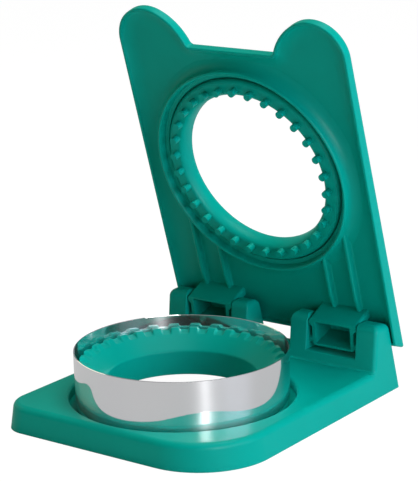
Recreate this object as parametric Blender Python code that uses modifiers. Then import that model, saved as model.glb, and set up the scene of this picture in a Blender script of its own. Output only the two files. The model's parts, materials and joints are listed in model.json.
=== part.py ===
"""Sandwich cutter and sealer: a hinged press with a round steel cutting ring.

The base carries the steel ring and, inside it, a toothed sealing ring. The lid swings over
them on four short pins and carries a pegged sealing ring. The lid stands open at rest.
Lengths are in metres, +Z is up, the origin lies under the middle of the base.
"""
import math

import bmesh
import bpy
from mathutils import Matrix, Vector

MM = 0.001

# Fits and common values
SEAT_GAP = 0.3 * MM            # between pieces that touch
PIN_PLAY = 0.1 * MM            # around a hinge pin, in ears and knuckles
TURN_STEPS = 60                # facets round a turned piece
ARC_STEP = 12.0                # degrees of arc for each facet of an outline

# Steel cutting ring
RING_RADIUS = 42.5 * MM        # outside
RING_WALL = 0.5 * MM
RING_HEIGHT = 22.3 * MM
RING_FOOT = 1.7 * MM           # inward flange at the bottom edge

# Base plate, a shell open below
BASE_SIDE_MARGIN = 10.2 * MM   # steel ring to the base's sides
BASE_HEIGHT = 11.0 * MM
BASE_FRONT_MARGIN = 6.1 * MM   # steel ring to the front edge
BASE_LEFT_CORNER = 12.0 * MM   # the two front corners differ
BASE_RIGHT_CORNER = 29.0 * MM
BASE_WALL = 2.4 * MM
BASE_TOP = 3.0 * MM
BASE_EDGE_ROUND = 1.5 * MM

# Round well in the base that the ring stands in
WELL_MARGIN = 2.7 * MM         # well wall to the ring's outside
WELL_WALL = 2.0 * MM
WELL_FLOOR_HEIGHT = 7.0 * MM
WELL_FLOOR = 2.0 * MM
WELL_LEDGE = 0.8 * MM          # floor that reaches in past the ring's foot
TAB_WIDTH = 8.0 * MM           # screw tabs that reach in from the ledge
TAB_REACH = 7.6 * MM

# Hinge
HINGE_MARGIN = 21.8 * MM       # steel ring to the hinge axis
HINGE_HEIGHT = 27.0 * MM
OPEN_ANGLE = 73.5              # degrees from closed to the open stop
EAR_BACK = 4.4 * MM            # axis to the ears' slanting back
EAR_RISE = 3.0 * MM            # axis to their flat top
EAR_FRONT = 4.1 * MM           # axis to the top of the brackets' sloping front
EAR_FOOT_FRONT = 7.8 * MM      # axis to its foot
EAR_INNER_WIDTH = 8.4 * MM
EAR_OUTER_WIDTH = 9.9 * MM
EAR_CORNER = 2.5 * MM
EAR_OUTER_CORNER = 3.2 * MM
EAR_FOOT_ROUND = 0.9 * MM
EAR_WALL = 2.2 * MM
SLOT_WIDTH = 23.6 * MM
SLOT_DEPTH = 14.0 * MM         # ear top to the slot's bottom
REAR_LIP_RISE = 2.2 * MM
REAR_LIP_DEPTH = 4.0 * MM
PIN_RADIUS = 1.0 * MM
PIN_SOCKET = 4.0 * MM

# Toothed sealing ring inside the steel ring
HUB_HEIGHT = 17.8 * MM         # well floor seat to the tooth tops
HUB_WALL = 1.4 * MM
HUB_TAPER = 1.2 * MM           # the outside draws in this much towards the teeth
RIM_WIDTH = 2.0 * MM
TOOTH_COUNT = 32
TOOTH_TURN = 7.5               # degrees from +X to the first tooth's middle
TOOTH_DEPTH = 1.0 * MM         # at the rim's outside
NOTCH_REACH = 2.6 * MM         # notch past the rim's inside, into the funnel
NOTCH_FALL = 12.0              # degrees, deeper towards the inside
TOOTH_SHARE = 0.45             # share of the pitch that is tooth
FUNNEL_WIDTH = 9.1 * MM        # rim's inside to the bore
BORE_TOP_DROP = 7.0 * MM       # tooth tops to the funnel's inner edge
FUNNEL_WALL = 1.8 * MM
BOSS_RADIUS = 3.0 * MM         # screw bosses under the funnel
SCREW_INSET = 3.9 * MM         # screws to the edge of the ledge
SCREW_RADIUS = 1.0 * MM
SCREW_LENGTH = 9.0 * MM
SCREW_HEAD_RADIUS = 2.7 * MM
SCREW_HEAD_HEIGHT = 1.5 * MM

# Lid, in its own frame: reach from the hinge axis, and level above it when closed
LID_OVERHANG = 1.8 * MM        # past the base on each side
LID_TAIL = 9.5 * MM            # panel behind the axis, at its inner face
LID_TAIL_SLANT = 36.0          # degrees, the tail is longer at the outer face
LID_NOTCH_MARGIN = 10.6 * MM   # steel ring to the edge between the grips
LID_RIM_LEVEL = 4.7 * MM       # inner edge of the rim
LID_THICKNESS = 4.9 * MM       # over the ring's centre
LID_TAPER = 0.8                # degrees, thinner towards the grips
LID_SKIN = 2.1 * MM
LID_RIM_WIDTH = 1.5 * MM
LID_TRAY_ROUND = 2.4 * MM
LID_TRAY_FACETS = 4            # steps of the arc to each facet of that round
LID_CORNER = 1.5 * MM
GRIP_MARGIN = 11.2 * MM        # steel ring to the grips' centres
GRIP_RADIUS = 14.9 * MM
GRIP_SHOULDER_RADIUS = 24.0 * MM
GRIP_SHOULDER_ANGLE = 115.0
NOTCH_ROUND = 2.0 * MM
COLLAR_LEVEL = 1.75 * MM       # edge of the round collar that meets the steel ring
COLLAR_MARGIN = 0.9 * MM       # collar to the ring's outside
COLLAR_WALL = 1.8 * MM
COLLAR_FLARE = 5.5 * MM
CHANNEL_DEPTH = 1.55 * MM
RIB_INSETS = (7.3 * MM, 19.3 * MM)   # from the slot's inner side
RIB_WIDTH = 2.0 * MM
RIB_LEVEL = 4.4 * MM

# Hollow knuckles under the lid's tail
KNUCKLE_SIDE_GAP = 1.9 * MM
KNUCKLE_WALL = 1.0 * MM
KNUCKLE_SIDE_WALL = 1.8 * MM
KNUCKLE_TOP_REACH = 2.4 * MM
KNUCKLE_TOP_LEVEL = -3.5 * MM
KNUCKLE_FOOT_REACH = -8.6 * MM
KNUCKLE_FOOT_LEVEL = -5.6 * MM
KNUCKLE_FLARE = 1.8 * MM
KNUCKLE_CORNER = 1.5 * MM
KNUCKLE_CEILING = 6.2 * MM     # how far the hollow reaches towards the lid
LUG_RADIUS = 1.6 * MM
LUG_REACH = -6.9 * MM
LUG_LEVEL = -3.6 * MM
LUG_LENGTH = 1.5 * MM

# Pegged sealing ring in the lid
LID_BORE_INSET = 9.0 * MM      # inside the steel ring's outside
PEG_RING_WALL = 4.7 * MM       # spigot through the lid
PEG_RING_SHOULDER = 3.0 * MM   # step that seats on the lid
PEG_RING_LEVEL = 3.6 * MM
PEG_RING_SEAT = 1.6 * MM       # lid left between the ring's shoulder and its barb
PEG_RING_PROUD = 1.1 * MM      # stands past the lid's outside
PEG_RING_BARB = 0.7 * MM
PEG_COUNT = 30
PEG_INSET = 3.1 * MM           # bore to the pegs' circle
PEG_RADIUS = 1.15 * MM
PEG_HEIGHT = 3.1 * MM

# Worked out from the values above
BASE_WIDTH = 2 * (RING_RADIUS + BASE_SIDE_MARGIN)
BASE_FRONT_REACH = RING_RADIUS + BASE_FRONT_MARGIN
LID_WIDTH = BASE_WIDTH + 2 * LID_OVERHANG
HINGE_REACH = RING_RADIUS + HINGE_MARGIN
LID_NOTCH_REACH = HINGE_REACH + RING_RADIUS + LID_NOTCH_MARGIN
GRIP_CENTRE_REACH = HINGE_REACH + RING_RADIUS + GRIP_MARGIN
LEAN = math.radians(90.0 - OPEN_ANGLE)
EAR_TOP = HINGE_HEIGHT + EAR_RISE
SLOT_FLOOR = EAR_TOP - SLOT_DEPTH
BASE_REAR_REACH = HINGE_REACH + EAR_BACK / math.cos(LEAN) + HINGE_HEIGHT * math.tan(LEAN)
LID_OUTSIDE = LID_RIM_LEVEL + LID_THICKNESS
LID_FLOOR = LID_OUTSIDE - LID_SKIN
LID_FALL = math.tan(math.radians(LID_TAPER))
TAIL_SLOPE = math.tan(math.radians(LID_TAIL_SLANT))
TAIL_LEVEL = ((LID_OUTSIDE + (HINGE_REACH + LID_TAIL - LID_RIM_LEVEL * TAIL_SLOPE) * LID_FALL)
              / (1 - TAIL_SLOPE * LID_FALL))
TAIL_OUTSIDE = LID_TAIL + (TAIL_LEVEL - LID_RIM_LEVEL) * TAIL_SLOPE
LID_REAR_REACH = HINGE_REACH + TAIL_OUTSIDE * math.sin(LEAN) + TAIL_LEVEL * math.cos(LEAN)
RING_Y = (BASE_FRONT_REACH - max(BASE_REAR_REACH, LID_REAR_REACH)) / 2
HINGE_Y = RING_Y + HINGE_REACH
FRONT_Y = RING_Y - BASE_FRONT_REACH
REAR_Y = RING_Y + BASE_REAR_REACH
HALF_WIDTH = BASE_WIDTH / 2
EAR_OUTER_X = HALF_WIDTH
SLOT_OUTER_X = EAR_OUTER_X - EAR_OUTER_WIDTH
SLOT_INNER_X = SLOT_OUTER_X - SLOT_WIDTH
EAR_INNER_X = SLOT_INNER_X - EAR_INNER_WIDTH
RIB_OFFSETS = [SLOT_INNER_X + inset for inset in RIB_INSETS]
WELL_RADIUS = RING_RADIUS + WELL_MARGIN
RING_SEAT = WELL_FLOOR_HEIGHT + SEAT_GAP
RING_INSIDE = RING_RADIUS - RING_WALL
OPENING_RADIUS = RING_INSIDE - RING_FOOT - WELL_LEDGE
HUB_RADIUS = RING_INSIDE - SEAT_GAP
HUB_BOTTOM = RING_SEAT + RING_WALL + SEAT_GAP
HUB_TOP = HUB_BOTTOM - RING_WALL - SEAT_GAP + HUB_HEIGHT
RIM_RADIUS = HUB_RADIUS - HUB_TAPER
FUNNEL_RADIUS = RIM_RADIUS - RIM_WIDTH
BORE_RADIUS = FUNNEL_RADIUS - FUNNEL_WIDTH
BORE_TOP = HUB_TOP - BORE_TOP_DROP
SCREW_CIRCLE = OPENING_RADIUS - SCREW_INSET
COLLAR_INSIDE = RING_RADIUS + COLLAR_MARGIN
LID_BORE_RADIUS = RING_RADIUS - LID_BORE_INSET
PEG_CIRCLE = LID_BORE_RADIUS + PEG_INSET
PEG_RING_SPIGOT = LID_BORE_RADIUS + PEG_RING_WALL
PEG_RING_RADIUS = PEG_RING_SPIGOT + PEG_RING_SHOULDER
CHANNEL_LEVEL = COLLAR_LEVEL + CHANNEL_DEPTH
PIN_HOLE = PIN_RADIUS + PIN_PLAY
KNUCKLE_INNER_X = SLOT_INNER_X + KNUCKLE_SIDE_GAP
KNUCKLE_OUTER_X = SLOT_OUTER_X - KNUCKLE_SIDE_GAP
PAST = 5.0 * MM                # how far a cutter runs past what it cuts

SIDES = (("left", -1), ("right", 1))


def clear_scene():
    for item in list(bpy.data.objects):
        bpy.data.objects.remove(item, do_unlink=True)


def new_collection(name):
    group = bpy.data.collections.new(name)
    bpy.context.scene.collection.children.link(group)
    return group


def plastic(name, colour, roughness):
    return finish(name, colour, roughness, 0.0)


def finish(name, colour, roughness, metallic):
    material = bpy.data.materials.new(name)
    material.use_nodes = True
    shader = material.node_tree.nodes["Principled BSDF"]
    shader.inputs["Base Color"].default_value = (*colour, 1.0)
    shader.inputs["Roughness"].default_value = roughness
    shader.inputs["Metallic"].default_value = metallic
    return material


def arc(centre, radius, start, end):
    """Points of an arc from start to end, in degrees, both ends included."""
    steps = max(1, math.ceil(abs(end - start) / ARC_STEP))
    turns = [math.radians(start + (end - start) * i / steps) for i in range(steps + 1)]
    return [(round(centre[0] + radius * math.cos(t), 9), round(centre[1] + radius * math.sin(t), 9))
            for t in turns]


def mirrored(points):
    """A right half outline, bottom to top, closed by its mirror image."""
    return points + [(-x, y) for x, y in reversed(points)]


def mesh_object(name, mesh, group):
    item = bpy.data.objects.new(name, mesh)
    group.objects.link(item)
    return item


def baked(item):
    """The object's mesh with its modifiers and place worked in."""
    bpy.context.view_layer.update()
    graph = bpy.context.evaluated_depsgraph_get()
    mesh = bpy.data.meshes.new_from_object(item.evaluated_get(graph))
    mesh.transform(item.matrix_world)
    return mesh


def freeze(item):
    """Works an object's modifiers into its own mesh, where it stands."""
    bpy.context.view_layer.update()
    graph = bpy.context.evaluated_depsgraph_get()
    mesh = bpy.data.meshes.new_from_object(item.evaluated_get(graph))
    item.modifiers.clear()
    item.data = mesh


def slab(name, outline, low, high, turn, group):
    """A flat outline given thickness from low to high, then turned into place."""
    curve = bpy.data.curves.new(name, "CURVE")
    curve.dimensions = "2D"
    curve.fill_mode = "BOTH"
    curve.extrude = (high - low) / 2
    spline = curve.splines.new("POLY")
    spline.points.add(len(outline) - 1)
    for point, (x, y) in zip(spline.points, outline):
        point.co = (x, y, 0.0, 1.0)
    spline.use_cyclic_u = True
    flat = mesh_object(name, curve, group)
    flat.matrix_world = turn @ Matrix.Translation((0, 0, (low + high) / 2))
    mesh = baked(flat)
    bpy.data.objects.remove(flat)
    work = bmesh.new()
    work.from_mesh(mesh)
    bmesh.ops.remove_doubles(work, verts=work.verts, dist=0.001 * MM)
    bmesh.ops.recalc_face_normals(work, faces=work.faces)
    work.to_mesh(mesh)
    work.free()
    return mesh_object(name, mesh, group)


def loft(name, stations, turn, group):
    """A solid through outlines of equal point count, each at its own level."""
    work = bmesh.new()
    rings = [[work.verts.new((x, y, level)) for x, y in outline] for outline, level in stations]
    for ring, following in zip(rings, rings[1:]):
        for i in range(len(ring)):
            work.faces.new((ring[i - 1], ring[i], following[i], following[i - 1]))
    caps = [work.faces.new(rings[0]), work.faces.new(rings[-1])]
    work.normal_update()
    bmesh.ops.triangulate(work, faces=caps)
    bmesh.ops.transform(work, matrix=turn, verts=work.verts)
    bmesh.ops.recalc_face_normals(work, faces=work.faces)
    mesh = bpy.data.meshes.new(name)
    work.to_mesh(mesh)
    work.free()
    return mesh_object(name, mesh, group)


UPRIGHT = Matrix.Identity(4)
# Outline x runs along +Y and outline y up; the thickness runs along +X
SIDE_VIEW = Matrix(((0, 0, 1, 0), (1, 0, 0, 0), (0, 1, 0, 0), (0, 0, 0, 1)))
# Outline x runs along +X and outline y up; the thickness runs towards -Y
FRONT_VIEW = Matrix(((1, 0, 0, 0), (0, 0, -1, 0), (0, 1, 0, 0), (0, 0, 0, 1)))


def turned(name, profile, centre, group, closed=True):
    """A profile of (radius, height) spun round an upright axis through centre."""
    mesh = bpy.data.meshes.new(name)
    edges = [(i, i + 1) for i in range(len(profile) - 1)]
    if closed:
        edges.append((len(profile) - 1, 0))
    mesh.from_pydata([(r, 0.0, z) for r, z in profile], edges, [])
    item = mesh_object(name, mesh, group)
    item.location = centre
    screw = item.modifiers.new("Spin", "SCREW")
    screw.steps = TURN_STEPS
    screw.render_steps = TURN_STEPS
    screw.use_merge_vertices = True
    screw.merge_threshold = 0.001 * MM
    return item


def rod(name, radius, start, end, sides, group):
    """A plain round bar between two points."""
    start = Vector(start)
    end = Vector(end)
    mesh = bpy.data.meshes.new(name)
    work = bmesh.new()
    flats_square = Matrix.Rotation(math.pi / sides, 4, "Z")
    bmesh.ops.create_cone(work, cap_ends=True, segments=sides, radius1=radius, radius2=radius,
                          depth=(end - start).length, matrix=flats_square)
    work.to_mesh(mesh)
    work.free()
    item = mesh_object(name, mesh, group)
    item.location = (start + end) / 2
    item.rotation_euler = (end - start).to_track_quat("Z", "Y").to_euler()
    return item


def block(name, low, high, group):
    """A box between two corners."""
    low = Vector(low)
    high = Vector(high)
    mesh = bpy.data.meshes.new(name)
    work = bmesh.new()
    bmesh.ops.create_cube(work, size=1.0)
    bmesh.ops.scale(work, vec=high - low, verts=work.verts)
    bmesh.ops.translate(work, vec=(low + high) / 2, verts=work.verts)
    work.to_mesh(mesh)
    work.free()
    return mesh_object(name, mesh, group)


def combine(part, tool, operation):
    """Adds a Boolean of the tool to the part and keeps the tool as a guide."""
    step = part.modifiers.new(tool.name, "BOOLEAN")
    step.operation = operation
    step.solver = "EXACT"
    step.object = tool
    tool.hide_render = True
    tool.display_type = "WIRE"


def cut(part, *tools):
    for tool in tools:
        combine(part, tool, "DIFFERENCE")


def join(part, *tools):
    for tool in tools:
        combine(part, tool, "UNION")


def round_shading(item):
    item.data.shade_smooth()
    item.data.set_sharp_from_angle(angle=math.radians(35))


def base_outline(inset, rear_inset):
    """The base seen from above, drawn in by inset, and by rear_inset at the back."""
    half = HALF_WIDTH - inset
    front = FRONT_Y + inset
    right = BASE_RIGHT_CORNER - inset
    left = BASE_LEFT_CORNER - inset
    points = arc((half - right, front + right), right, -90.0, 0.0)
    points += [(half, REAR_Y - rear_inset), (-half, REAR_Y - rear_inset)]
    points += arc((left - half, front + left), left, 180.0, 270.0)
    return points


def bracket_profile():
    """What the side view takes away: all above the base top and round the ears."""
    round_top = EAR_FRONT * 0.5
    slope = math.atan2(EAR_FOOT_FRONT - EAR_FRONT, EAR_TOP - round_top - BASE_HEIGHT)
    tilt = math.degrees(slope)
    foot = HINGE_Y - EAR_FOOT_FRONT - EAR_FOOT_ROUND * math.tan((math.pi / 2 - slope) / 2)
    crown = HINGE_Y - EAR_FRONT + round_top / math.cos(slope)
    points = [(FRONT_Y - PAST, BASE_HEIGHT)]
    points += arc((foot, BASE_HEIGHT + EAR_FOOT_ROUND), EAR_FOOT_ROUND, -90.0, -tilt)
    points += arc((crown, EAR_TOP - round_top), round_top, 180.0 - tilt, 90.0)
    back = HINGE_Y + (EAR_BACK - EAR_RISE) / math.cos(LEAN)
    points += arc((back, HINGE_HEIGHT), EAR_RISE, 90.0, math.degrees(LEAN))
    points.append((REAR_Y, 0.0))
    points.append((REAR_Y + PAST * math.tan(LEAN), -PAST))
    points.append((REAR_Y + 2 * PAST, -PAST))
    points.append((REAR_Y + 2 * PAST, EAR_TOP + PAST))
    points.append((FRONT_Y - PAST, EAR_TOP + PAST))
    return points


def ear_gap(inner, outer, floor):
    """Front view of a gap between ears, flared round at the ears' top corners."""
    crown = EAR_TOP - EAR_CORNER * 0.85
    points = [(inner, floor), (outer, floor)]
    points += arc((outer + EAR_CORNER, crown), EAR_CORNER, 180.0, 90.0)
    points.append((outer + EAR_CORNER, EAR_TOP + PAST))
    points.append((inner - EAR_CORNER, EAR_TOP + PAST))
    points += arc((inner - EAR_CORNER, crown), EAR_CORNER, 90.0, 0.0)
    return points


def ear_shoulder(sign):
    """Front view of what rounds the outer top corner of an outer ear."""
    crown = EAR_TOP - EAR_OUTER_CORNER * 0.9
    side = EAR_OUTER_X - EAR_OUTER_CORNER * 0.95
    points = arc((side, crown), EAR_OUTER_CORNER, 0.0, 90.0)
    points.append((side, EAR_TOP + PAST))
    points.append((EAR_OUTER_X + PAST, EAR_TOP + PAST))
    points.append((EAR_OUTER_X + PAST, crown))
    return [(sign * x, y) for x, y in points]


def soften_base_edges(item):
    """Rounds the edge where the base's and brackets' sides meet what faces up or forward."""
    freeze(item)
    work = bmesh.new()
    work.from_mesh(item.data)
    bmesh.ops.dissolve_limit(work, angle_limit=math.radians(0.5), verts=work.verts,
                             edges=work.edges)
    chosen = []
    for edge in work.edges:
        if len(edge.link_faces) != 2 or min(v.co.z for v in edge.verts) < BASE_HEIGHT - 0.1 * MM:
            continue
        steep = [abs(face.normal.z) < 0.01 and face.normal.y < 0.99 and on_outline(edge, face)
                 for face in edge.link_faces]
        behind = any(face.normal.y > 0.5 for face in edge.link_faces)
        if any(steep) and not all(steep) and not behind:
            chosen.append(edge)
    bmesh.ops.bevel(work, geom=chosen, offset=BASE_EDGE_ROUND, segments=2, profile=0.5,
                    affect="EDGES", clamp_overlap=True)
    work.to_mesh(item.data)
    work.free()


def on_outline(edge, face):
    """Whether a face is part of the base's outer wall."""
    middle = (edge.verts[0].co + edge.verts[1].co) / 2
    outward = face.normal.x * middle.x > 0 or middle.y < RING_Y
    near_side = abs(abs(middle.x) - HALF_WIDTH) < 0.1 * MM
    return outward and (near_side or middle.y < FRONT_Y + BASE_RIGHT_CORNER)


def polar(radius, degrees):
    """A place round the ring's centre, to a billionth of a metre so that zero is zero."""
    turn = math.radians(degrees)
    return round(radius * math.cos(turn), 9), round(RING_Y + radius * math.sin(turn), 9)


SCREW_ANGLES = [90.0 * i for i in range(4)]


def opening_outline():
    """The well's opening: a circle with four round-ended tabs reaching in."""
    points = []
    spread = math.degrees(math.asin(TAB_WIDTH / 2 / OPENING_RADIUS))
    for angle in SCREW_ANGLES:
        tip = OPENING_RADIUS - TAB_REACH + TAB_WIDTH / 2
        centre = polar(tip, angle)
        points += arc(centre, TAB_WIDTH / 2, angle - 90.0, angle - 270.0)
        points += arc((0.0, RING_Y), OPENING_RADIUS, angle + spread, angle + 90.0 - spread)
    return points


def make_base_plate(parts, guides):
    body = slab("base_plate", base_outline(0.0, 0.0), 0.0, EAR_TOP + 1.0 * MM, UPRIGHT, parts)
    wide = HALF_WIDTH + 2 * PAST
    cut(body, slab("side_profile", bracket_profile(), -wide, wide, SIDE_VIEW, guides))
    back = -(REAR_Y + 2 * PAST)
    front = -(HINGE_Y - EAR_FOOT_FRONT - EAR_FOOT_ROUND - 1.0 * MM)
    for side, sign in SIDES:
        cut(body, slab(f"shoulder_{side}", ear_shoulder(sign), back, front, FRONT_VIEW, guides))
    soften_base_edges(body)
    lip_front = -(REAR_Y - BASE_HEIGHT * math.tan(LEAN) - REAR_LIP_DEPTH)
    middle = ear_gap(-EAR_INNER_X, EAR_INNER_X, BASE_HEIGHT)
    above_lip = ear_gap(-EAR_INNER_X, EAR_INNER_X, BASE_HEIGHT + REAR_LIP_RISE)
    cut(body, slab("middle_gap", middle, lip_front, front, FRONT_VIEW, guides))
    cut(body, slab("above_rear_lip", above_lip, back, lip_front + 0.5 * MM, FRONT_VIEW, guides))
    for side, sign in SIDES:
        ends = sorted((sign * SLOT_INNER_X, sign * SLOT_OUTER_X))
        slot = ear_gap(ends[0], ends[1], SLOT_FLOOR)
        cut(body, slab(f"slot_{side}", slot, back, front, FRONT_VIEW, guides))
    hollow_top = BASE_HEIGHT - BASE_TOP
    rear_inset = BASE_WALL + hollow_top * math.tan(LEAN)
    cut(body, slab("hollow", base_outline(BASE_WALL, rear_inset), -PAST, hollow_top, UPRIGHT, guides))
    well_block = [(OPENING_RADIUS - 2 * TAB_REACH, hollow_top + BASE_TOP / 2),
                  (WELL_RADIUS + WELL_WALL, hollow_top + BASE_TOP / 2),
                  (WELL_RADIUS + WELL_WALL, WELL_FLOOR_HEIGHT - WELL_FLOOR),
                  (OPENING_RADIUS - 2 * TAB_REACH, WELL_FLOOR_HEIGHT - WELL_FLOOR)]
    join(body, turned("well_block", well_block, (0, RING_Y, 0), guides))
    lip_round = 1.0 * MM
    pocket = [(0.0, BASE_HEIGHT + PAST), (WELL_RADIUS + lip_round, BASE_HEIGHT + PAST)]
    pocket += [(WELL_RADIUS + lip_round, BASE_HEIGHT), (WELL_RADIUS, BASE_HEIGHT - lip_round)]
    pocket += [(WELL_RADIUS, WELL_FLOOR_HEIGHT), (0.0, WELL_FLOOR_HEIGHT)]
    cut(body, turned("well_pocket", pocket, (0, RING_Y, 0), guides, closed=False))
    cut(body, slab("well_opening", opening_outline(), -PAST, WELL_FLOOR_HEIGHT + 1.0 * MM, UPRIGHT,
                   guides))
    for number, angle in enumerate(SCREW_ANGLES, 1):
        x, y = polar(SCREW_CIRCLE, angle)
        cut(body, rod(f"tab_hole_{number}", SCREW_RADIUS + 2 * SEAT_GAP, (x, y, 0),
                      (x, y, BASE_HEIGHT), 12, guides))
    hollow_brackets(body, guides)
    return body


def hollow_brackets(body, guides):
    """Cores each bracket from below and sinks the pin sockets in its ears."""
    front = HINGE_Y - EAR_FRONT + EAR_WALL
    bar_top = SLOT_FLOOR - EAR_WALL
    bar_rear = REAR_Y - bar_top * math.tan(LEAN) - BASE_WALL
    ear_top = HINGE_HEIGHT - PIN_HOLE - EAR_WALL
    ear_rear = REAR_Y - ear_top * math.tan(LEAN) - EAR_WALL
    low = BASE_HEIGHT - BASE_TOP - 2.0 * MM
    for side, sign in SIDES:
        bar = sorted((sign * (EAR_INNER_X + EAR_WALL), sign * (EAR_OUTER_X - BASE_WALL)))
        cut(body, block(f"bar_core_{side}", (bar[0], front, low), (bar[1], bar_rear, bar_top), guides))
        ears = ((EAR_INNER_X + EAR_WALL, SLOT_INNER_X - EAR_WALL, SLOT_INNER_X - PIN_SOCKET),
                (SLOT_OUTER_X + EAR_WALL, EAR_OUTER_X - BASE_WALL, SLOT_OUTER_X + PIN_SOCKET))
        for place, (inner, outer, bottom) in zip(("inner", "outer"), ears):
            ends = sorted((sign * inner, sign * outer))
            cut(body, block(f"ear_core_{side}_{place}", (ends[0], front, low + 0.5 * MM),
                            (ends[1], ear_rear, ear_top), guides))
            mouth = SLOT_INNER_X + PAST if place == "inner" else SLOT_OUTER_X - PAST
            cut(body, rod(f"socket_{side}_{place}", PIN_HOLE, (sign * bottom, HINGE_Y, HINGE_HEIGHT),
                          (sign * mouth, HINGE_Y, HINGE_HEIGHT), 16, guides))


def make_cutter_ring(parts):
    top = RING_SEAT + RING_HEIGHT
    inner_foot = RING_INSIDE - RING_FOOT
    profile = [(RING_RADIUS - RING_WALL * 0.4, top), (RING_RADIUS, top - RING_WALL * 2),
               (RING_RADIUS, RING_SEAT), (inner_foot, RING_SEAT), (inner_foot, RING_SEAT + RING_WALL),
               (RING_INSIDE, RING_SEAT + RING_WALL), (RING_INSIDE, top - RING_WALL * 2),
               (RING_INSIDE + RING_WALL * 0.4, top)]
    return turned("cutter_ring", profile, (0, RING_Y, 0), parts)


def make_lower_sealing_ring(parts, guides):
    skirt_inside = HUB_RADIUS - HUB_WALL
    inner_wall = BORE_RADIUS + FUNNEL_WALL
    edge = 0.6 * MM
    slope = (HUB_TOP - BORE_TOP) / (FUNNEL_RADIUS - BORE_RADIUS)
    under_rim = RIM_RADIUS - HUB_WALL
    profile = [(RIM_RADIUS - edge, HUB_TOP), (RIM_RADIUS, HUB_TOP - edge),
               (HUB_RADIUS, HUB_BOTTOM + HUB_HEIGHT * 0.3), (HUB_RADIUS, HUB_BOTTOM),
               (skirt_inside, HUB_BOTTOM), (skirt_inside, HUB_BOTTOM + HUB_HEIGHT * 0.3),
               (under_rim, HUB_TOP - TOOTH_DEPTH - FUNNEL_WALL * 2),
               (inner_wall, BORE_TOP - FUNNEL_WALL), (inner_wall, HUB_BOTTOM),
               (BORE_RADIUS, HUB_BOTTOM), (BORE_RADIUS, BORE_TOP - 2 * edge),
               (BORE_RADIUS + edge, BORE_TOP + edge * slope),
               (FUNNEL_RADIUS, HUB_TOP - edge), (FUNNEL_RADIUS + edge, HUB_TOP)]
    ring = turned("lower_sealing_ring", profile, (0, RING_Y, 0), parts)
    boss_top = BORE_TOP + (SCREW_CIRCLE - BOSS_RADIUS - BORE_RADIUS) * slope
    for number, angle in enumerate(SCREW_ANGLES, 1):
        x, y = polar(SCREW_CIRCLE, angle)
        join(ring, rod(f"boss_{number}", BOSS_RADIUS, (x, y, RING_SEAT), (x, y, boss_top - FUNNEL_WALL / 2),
                       12, guides))
        pilot_top = WELL_FLOOR_HEIGHT - WELL_FLOOR - SEAT_GAP + SCREW_LENGTH + 2 * SEAT_GAP
        cut(ring, rod(f"pilot_{number}", SCREW_RADIUS + SEAT_GAP, (x, y, 0), (x, y, pilot_top), 12,
                      guides))
    half = math.pi * RIM_RADIUS / TOOTH_COUNT * (1 - TOOTH_SHARE)
    inner = FUNNEL_RADIUS - NOTCH_REACH
    fall = math.tan(math.radians(NOTCH_FALL))
    outer_level = HUB_TOP - TOOTH_DEPTH + PAST * fall
    inner_level = HUB_TOP - TOOTH_DEPTH - (RIM_RADIUS - inner) * fall
    notch = [(inner, inner_level), (RIM_RADIUS + PAST, outer_level),
             (RIM_RADIUS + PAST, HUB_TOP + PAST), (inner, HUB_TOP + PAST)]
    for number in range(TOOTH_COUNT):
        tool = slab(f"notch_{number + 1:02}", notch, -half, half, SIDE_VIEW, guides)
        angle = TOOTH_TURN - 90.0 + 360.0 * (number + 0.5) / TOOTH_COUNT
        tool.matrix_world = Matrix.Translation((0, RING_Y, 0)) @ Matrix.Rotation(
            math.radians(angle), 4, "Z")
        cut(ring, tool)
    return ring


def make_screws(parts):
    """Pan-head screws from below, each through a tab into a boss."""
    head_top = WELL_FLOOR_HEIGHT - WELL_FLOOR - SEAT_GAP
    made = []
    for number, angle in enumerate(SCREW_ANGLES, 1):
        x, y = polar(SCREW_CIRCLE, angle)
        profile = [(0.0, head_top + SCREW_LENGTH), (SCREW_RADIUS * 0.5, head_top + SCREW_LENGTH),
                   (SCREW_RADIUS, head_top + SCREW_LENGTH - SCREW_RADIUS), (SCREW_RADIUS, head_top),
                   (SCREW_HEAD_RADIUS, head_top), (SCREW_HEAD_RADIUS, head_top - SCREW_HEAD_HEIGHT * 0.5),
                   (SCREW_HEAD_RADIUS * 0.6, head_top - SCREW_HEAD_HEIGHT),
                   (0.0, head_top - SCREW_HEAD_HEIGHT)]
        screw = turned(f"ring_screw_{number}", profile, (x, y, 0), parts, closed=False)
        screw.modifiers["Spin"].steps = 12
        screw.modifiers["Spin"].render_steps = 12
        made.append(screw)
    return made


def lid_outline(inset, level=LID_RIM_LEVEL):
    """The lid panel seen square on, drawn in by inset; outline y is the reach from the axis."""
    half = LID_WIDTH / 2 - inset
    tail = -LID_TAIL - (level - LID_RIM_LEVEL) * TAIL_SLOPE + inset
    corner = max(LID_CORNER - inset, 0.5 * MM)
    crown = GRIP_RADIUS - inset
    shoulder = GRIP_SHOULDER_RADIUS - inset
    grip = (LID_WIDTH / 2 - GRIP_RADIUS, GRIP_CENTRE_REACH)
    turn = math.radians(GRIP_SHOULDER_ANGLE)
    lead = GRIP_RADIUS - GRIP_SHOULDER_RADIUS
    centre = (grip[0] + lead * math.cos(turn), grip[1] + lead * math.sin(turn))
    hollow = NOTCH_ROUND + inset
    rise = LID_NOTCH_REACH + NOTCH_ROUND - centre[1]
    span = GRIP_SHOULDER_RADIUS + NOTCH_ROUND
    foot = math.degrees(math.acos(rise / span)) + 90.0
    valley = (centre[0] + span * math.cos(math.radians(foot)), LID_NOTCH_REACH + NOTCH_ROUND)
    right = arc((half - corner, tail + corner), corner, -90.0, 0.0)
    right += arc(grip, crown, 0.0, GRIP_SHOULDER_ANGLE)
    right += arc(centre, shoulder, GRIP_SHOULDER_ANGLE, foot)[1:]
    right += arc(valley, hollow, foot - 180.0, -90.0)[1:]
    return mirrored(right)


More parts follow.
